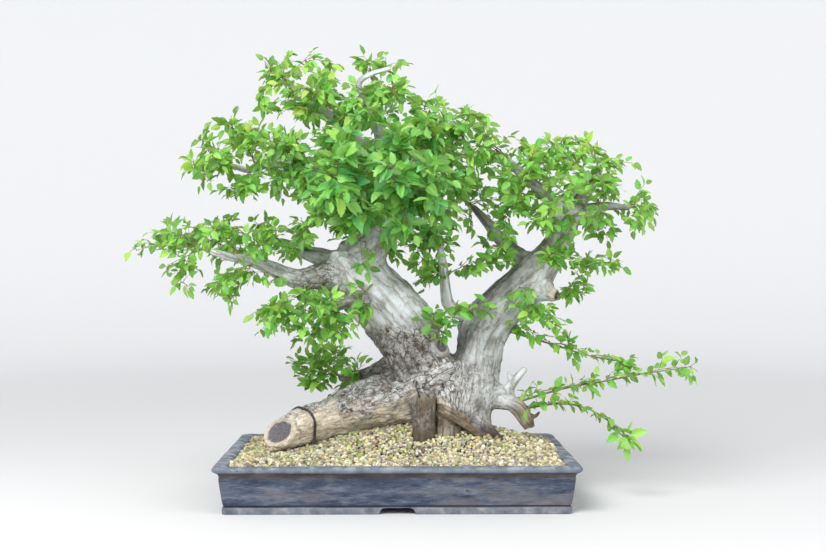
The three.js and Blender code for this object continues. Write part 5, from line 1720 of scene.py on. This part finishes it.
def make_granules():
    """Loose angular grains of many kinds, mossy in patches and near the wood."""
    draw = fractions(501)
    places = grain_places(draw)
    size = draw.normal(GRAIN_SIZE["mean"], GRAIN_SIZE["spread"], len(places))
    size = np.clip(size, GRAIN_SIZE["least"], GRAIN_SIZE["most"])
    kept = (in_tray(places[:, 0], places[:, 1], 22.0) > 0.6 * size) & (wood_gap(places) > 0.45 * size)
    places, size = places[kept], size[kept]
    count = len(places)
    solid, solid_faces = crumb()
    turn = unit(draw.normal(0, 1, (count, 4)))
    w, x, y, z = turn.T
    axes = np.stack([
        np.stack([1 - 2 * (y * y + z * z), 2 * (x * y - z * w), 2 * (x * z + y * w)], axis=-1),
        np.stack([2 * (x * y + z * w), 1 - 2 * (x * x + z * z), 2 * (y * z - x * w)], axis=-1),
        np.stack([2 * (x * z - y * w), 2 * (y * z + x * w), 1 - 2 * (x * x + y * y)], axis=-1),
    ], axis=1)
    shape = solid[None] * draw.uniform((0.95, 0.8, 0.62), (1.25, 1.05, 0.95), (count, 3))[:, None]
    shape = shape * draw.uniform(0.84, 1.16, (count, len(solid), 1)) * size[:, None, None]
    points = np.einsum("nij,npj->npi", axes, shape) + places[:, None]
    moss = layered(places / 26.0, 3, seed=52) + 0.35 * smoothstep(40, 5, wood_gap(places))
    tone = np.empty((count, len(solid), 3))
    tone[..., 0] = draw.random((count, 1))
    tone[..., 1] = draw.random((count, 1))
    tone[..., 2] = (smoothstep(-0.1, 0.9, moss) * draw.uniform(0.2, 1, count))[:, None]
    faces = solid_faces[None] + (np.arange(count) * len(solid))[:, None, None]
    piece = make_piece("pumice_granules", points.reshape(-1, 3), [faces.reshape(-1, 3)],
                       [granule_material()], smooth=False, attributes={"tone": tone.reshape(-1, 3)})
    settle(piece, "granules", "soil")


def bed_material():
    n = Nodes("damp_soil")
    place = n.position()
    crumbs = n.voronoi(place, 230.0, "F1")
    grain = n.noise(place, 420.0, 4.0, 0.7)
    colour = n.ramp(grain, (0.3, (0.03, 0.025, 0.018)), (0.52, (0.09, 0.075, 0.05)),
                    (0.7, (0.22, 0.19, 0.12)))
    normal = n.bump(n.minus(grain, crumbs), 0.8, 0.003)
    n.set(Base_Color=colour, Roughness=0.95, Specular_IOR_Level=0.1, Normal=normal)
    return n.material


def granule_material():
    n = Nodes("pumice")
    kind, light, moss = n.parts(n.attribute("tone", "Vector"))
    place = n.position()
    pores = n.noise(place, 900.0, 3.0, 0.65)
    patch = n.noise(place, 21.0, 2.0, 0.5)
    kind = n.plus(kind, n.spread(patch, 0.56, 0.68, 0.0, 0.22))
    base = n.ramp(kind, (0.00, (0.82, 0.77, 0.56)), (0.30, (0.78, 0.68, 0.36)), (0.45, (0.90, 0.87, 0.78)),
                  (0.60, (0.70, 0.68, 0.58)), (0.68, (0.64, 0.44, 0.16)), (0.76, (0.56, 0.42, 0.37)),
                  (0.84, (0.46, 0.47, 0.50)), (0.91, (0.34, 0.22, 0.17)), (0.98, (0.14, 0.12, 0.11)))
    base = n.mix(n.spread(light, 0.0, 0.8, 0.78, 0.0), base, (0.29, 0.25, 0.16))
    green = n.mix(light, (0.30, 0.42, 0.09), (0.60, 0.68, 0.28))
    base = n.mix(n.times(moss, 0.85), base, green)
    base = n.stained(base, (pores, 0.55, 0.72, 0.4, (0.30, 0.25, 0.16)))
    base = n.mix(1.0, base, (0.86, 0.86, 0.85), "MULTIPLY")
    n.set(Base_Color=base, Roughness=0.9, Specular_IOR_Level=0.2, Normal=n.bump(pores, 0.5, 0.0006))
    return n.material


# Tie wire

def evened(values, times):
    """Evens a row of values or points out, its ends apart."""
    for _ in range(times):
        values[1:-1] = (values[:-2] + 2 * values[1:-1] + values[2:]) / 4
    return values


def make_wire():
    """A wire drawn over the surface root just behind its sawn face, and down into the soil."""
    limb = LIMBS["log"]
    centre = limb.point(WIRE["along"])
    ahead = unit(limb.point(WIRE["along"] + 0.02) - centre)
    side = unit(UP - ahead * ahead[2])
    over = np.cross(ahead, side)
    angle = np.linspace(-WIRE["arc"], WIRE["arc"], 53)
    ways = side * np.cos(angle)[:, None] + over * np.sin(angle)[:, None]
    reach = np.linspace(18, 46, 225)
    gap = wood_gap(centre + ways[:, None] * reach[None, :, None])
    radius = reach[(gap > 0).argmax(axis=1)]
    relief, _ = bark_relief(centre + ways * radius[:, None])
    radius = evened(radius + np.maximum(relief, -0.5), 4)
    path = centre + ways * (radius + 0.8 * WIRE["radius"])[:, None]
    ends = []
    for last in (path[0], path[-1]):
        drop = soil_height(last[0], last[1]) - WIRE["tuck"]
        ends.append(np.array([[*last[:2], z] for z in np.linspace(last[2], drop, 6)[1:]]))
    path = evened(np.concatenate([ends[0][::-1], path, ends[1]]), 3)
    points, quads, caps = tube(path, np.full(len(path), WIRE["radius"]), 12)
    piece = make_piece("root_wire", points, [quads, caps], [wire_material()])
    settle(piece, "wire", "tie_wire")


def wire_material():
    n = Nodes("coated_wire")
    dust = n.noise(n.position(), 700.0, 3.0, 0.6)
    colour = n.ramp(dust, (0.4, (0.018, 0.017, 0.018)), (0.62, (0.06, 0.055, 0.05)), (0.8, (0.2, 0.18, 0.15)))
    n.set(Base_Color=colour, Roughness=n.spread(dust, 0.3, 0.7, 0.38, 0.65),
          Normal=n.bump(dust, 0.25, 0.0004))
    return n.material


def dress_screens():
    """The drain screens stay as the CAD has them, in moulded plastic."""
    n = Nodes("moulded_plastic")
    pits = n.noise(n.position(), 1400.0, 2.0, 0.5)
    n.set(Base_Color=n.ramp(pits, (0.35, (0.012, 0.013, 0.013)), (0.7, (0.035, 0.038, 0.036))),
          Roughness=n.spread(pits, 0.3, 0.7, 0.45, 0.6), Normal=n.bump(pits, 0.2, 0.0003))
    for name in ("drain_screen_left", "drain_screen_right"):
        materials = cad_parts[name].data.materials
        if not materials:
            materials.append(n.material)
        for i in range(len(materials)):
            materials[i] = n.material


# Camera, light and stage

def add_camera():
    data = bpy.data.cameras.new("camera")
    data.lens = CAMERA_LENS
    data.sensor_width = 36.0
    data.clip_end = 50.0
    camera = bpy.data.objects.new("camera", data)
    camera.location = np.array(CAMERA_AT) * MM + MIDDLE
    camera.rotation_euler = (math.radians(90 - CAMERA_DOWN), 0, -math.radians(CAMERA_RIGHT))
    bpy.context.collection.objects.link(camera)
    bpy.context.scene.camera = camera


# The studio's round sheet, in metres
STUDIO = {"radius": 3.8, "bend": 1.3, "height": 2.4, "sides": 96}
# Each lamp: where it stands, what it is aimed at, its size and its power
LAMPS = {
    "key": ((-1.1, -1.9, 2.3), (0, 0, 0.35), 1.7, 96),
    "fill": ((1.9, -1.6, 1.1), (0, 0, 0.3), 2.0, 27),
}


def add_lights():
    for name, (place, aim, size, power) in LAMPS.items():
        data = bpy.data.lights.new(name, "AREA")
        data.shape, data.size, data.energy = "SQUARE", size, power
        lamp = bpy.data.objects.new(name, data)
        lamp.location = place
        way = np.subtract(aim, place)
        tilt = math.acos(-way[2] / np.linalg.norm(way))
        lamp.rotation_euler = (tilt, 0, math.atan2(way[1], way[0]) - math.pi / 2)
        lamp.visible_camera = False
        bpy.context.collection.objects.link(lamp)
    world = bpy.data.worlds.new("studio")
    world.use_nodes = True
    sky = world.node_tree.nodes["Background"].inputs
    sky["Color"].default_value = (0.97, 0.985, 1.0, 1)
    sky["Strength"].default_value = 0.68
    bpy.context.scene.world = world
    bpy.context.scene.view_settings.view_transform = "Standard"


def add_stage():
    """A round studio of one pale sheet: a floor that bends up into a low wall all round."""
    n = Nodes("studio_paper")
    # Painted light: the sheet is painted darker near the tree and paler further out, evening out how lit the
    # floor and wall look
    away = n.add("ShaderNodeVectorMath", {0: n.position()}, "Value", operation="LENGTH")
    paler = n.spread(away, 0.9, 3.8)
    n.set(Base_Color=n.mix(paler, (0.65, 0.65, 0.655), (0.855, 0.86, 0.87)), Roughness=0.9)
    flat = STUDIO["radius"] - STUDIO["bend"]
    rows = [(0.1, 0.0), (0.6, 0.0), (flat, 0.0)]
    for a in np.linspace(0.1, math.pi / 2, 14):
        rows.append((flat + STUDIO["bend"] * math.sin(a), STUDIO["bend"] * (1 - math.cos(a))))
    rows.append((STUDIO["radius"], STUDIO["height"]))
    turns = np.linspace(0, 2 * math.pi, STUDIO["sides"], endpoint=False)
    points = np.array([(r * math.cos(a), r * math.sin(a), z) for r, z in rows for a in turns]) / MM
    faces = [grid_faces(len(rows), len(turns), closed=True), np.arange(len(turns))[None]]
    make_piece("studio_sweep", points - MIDDLE / MM, faces, [n.material])


add_camera()
add_stage()
add_lights()
wood_grid, wood_origin = make_wood()
make_pot()
make_bed()
make_granules()
make_wire()
dress_screens()
make_sprays()
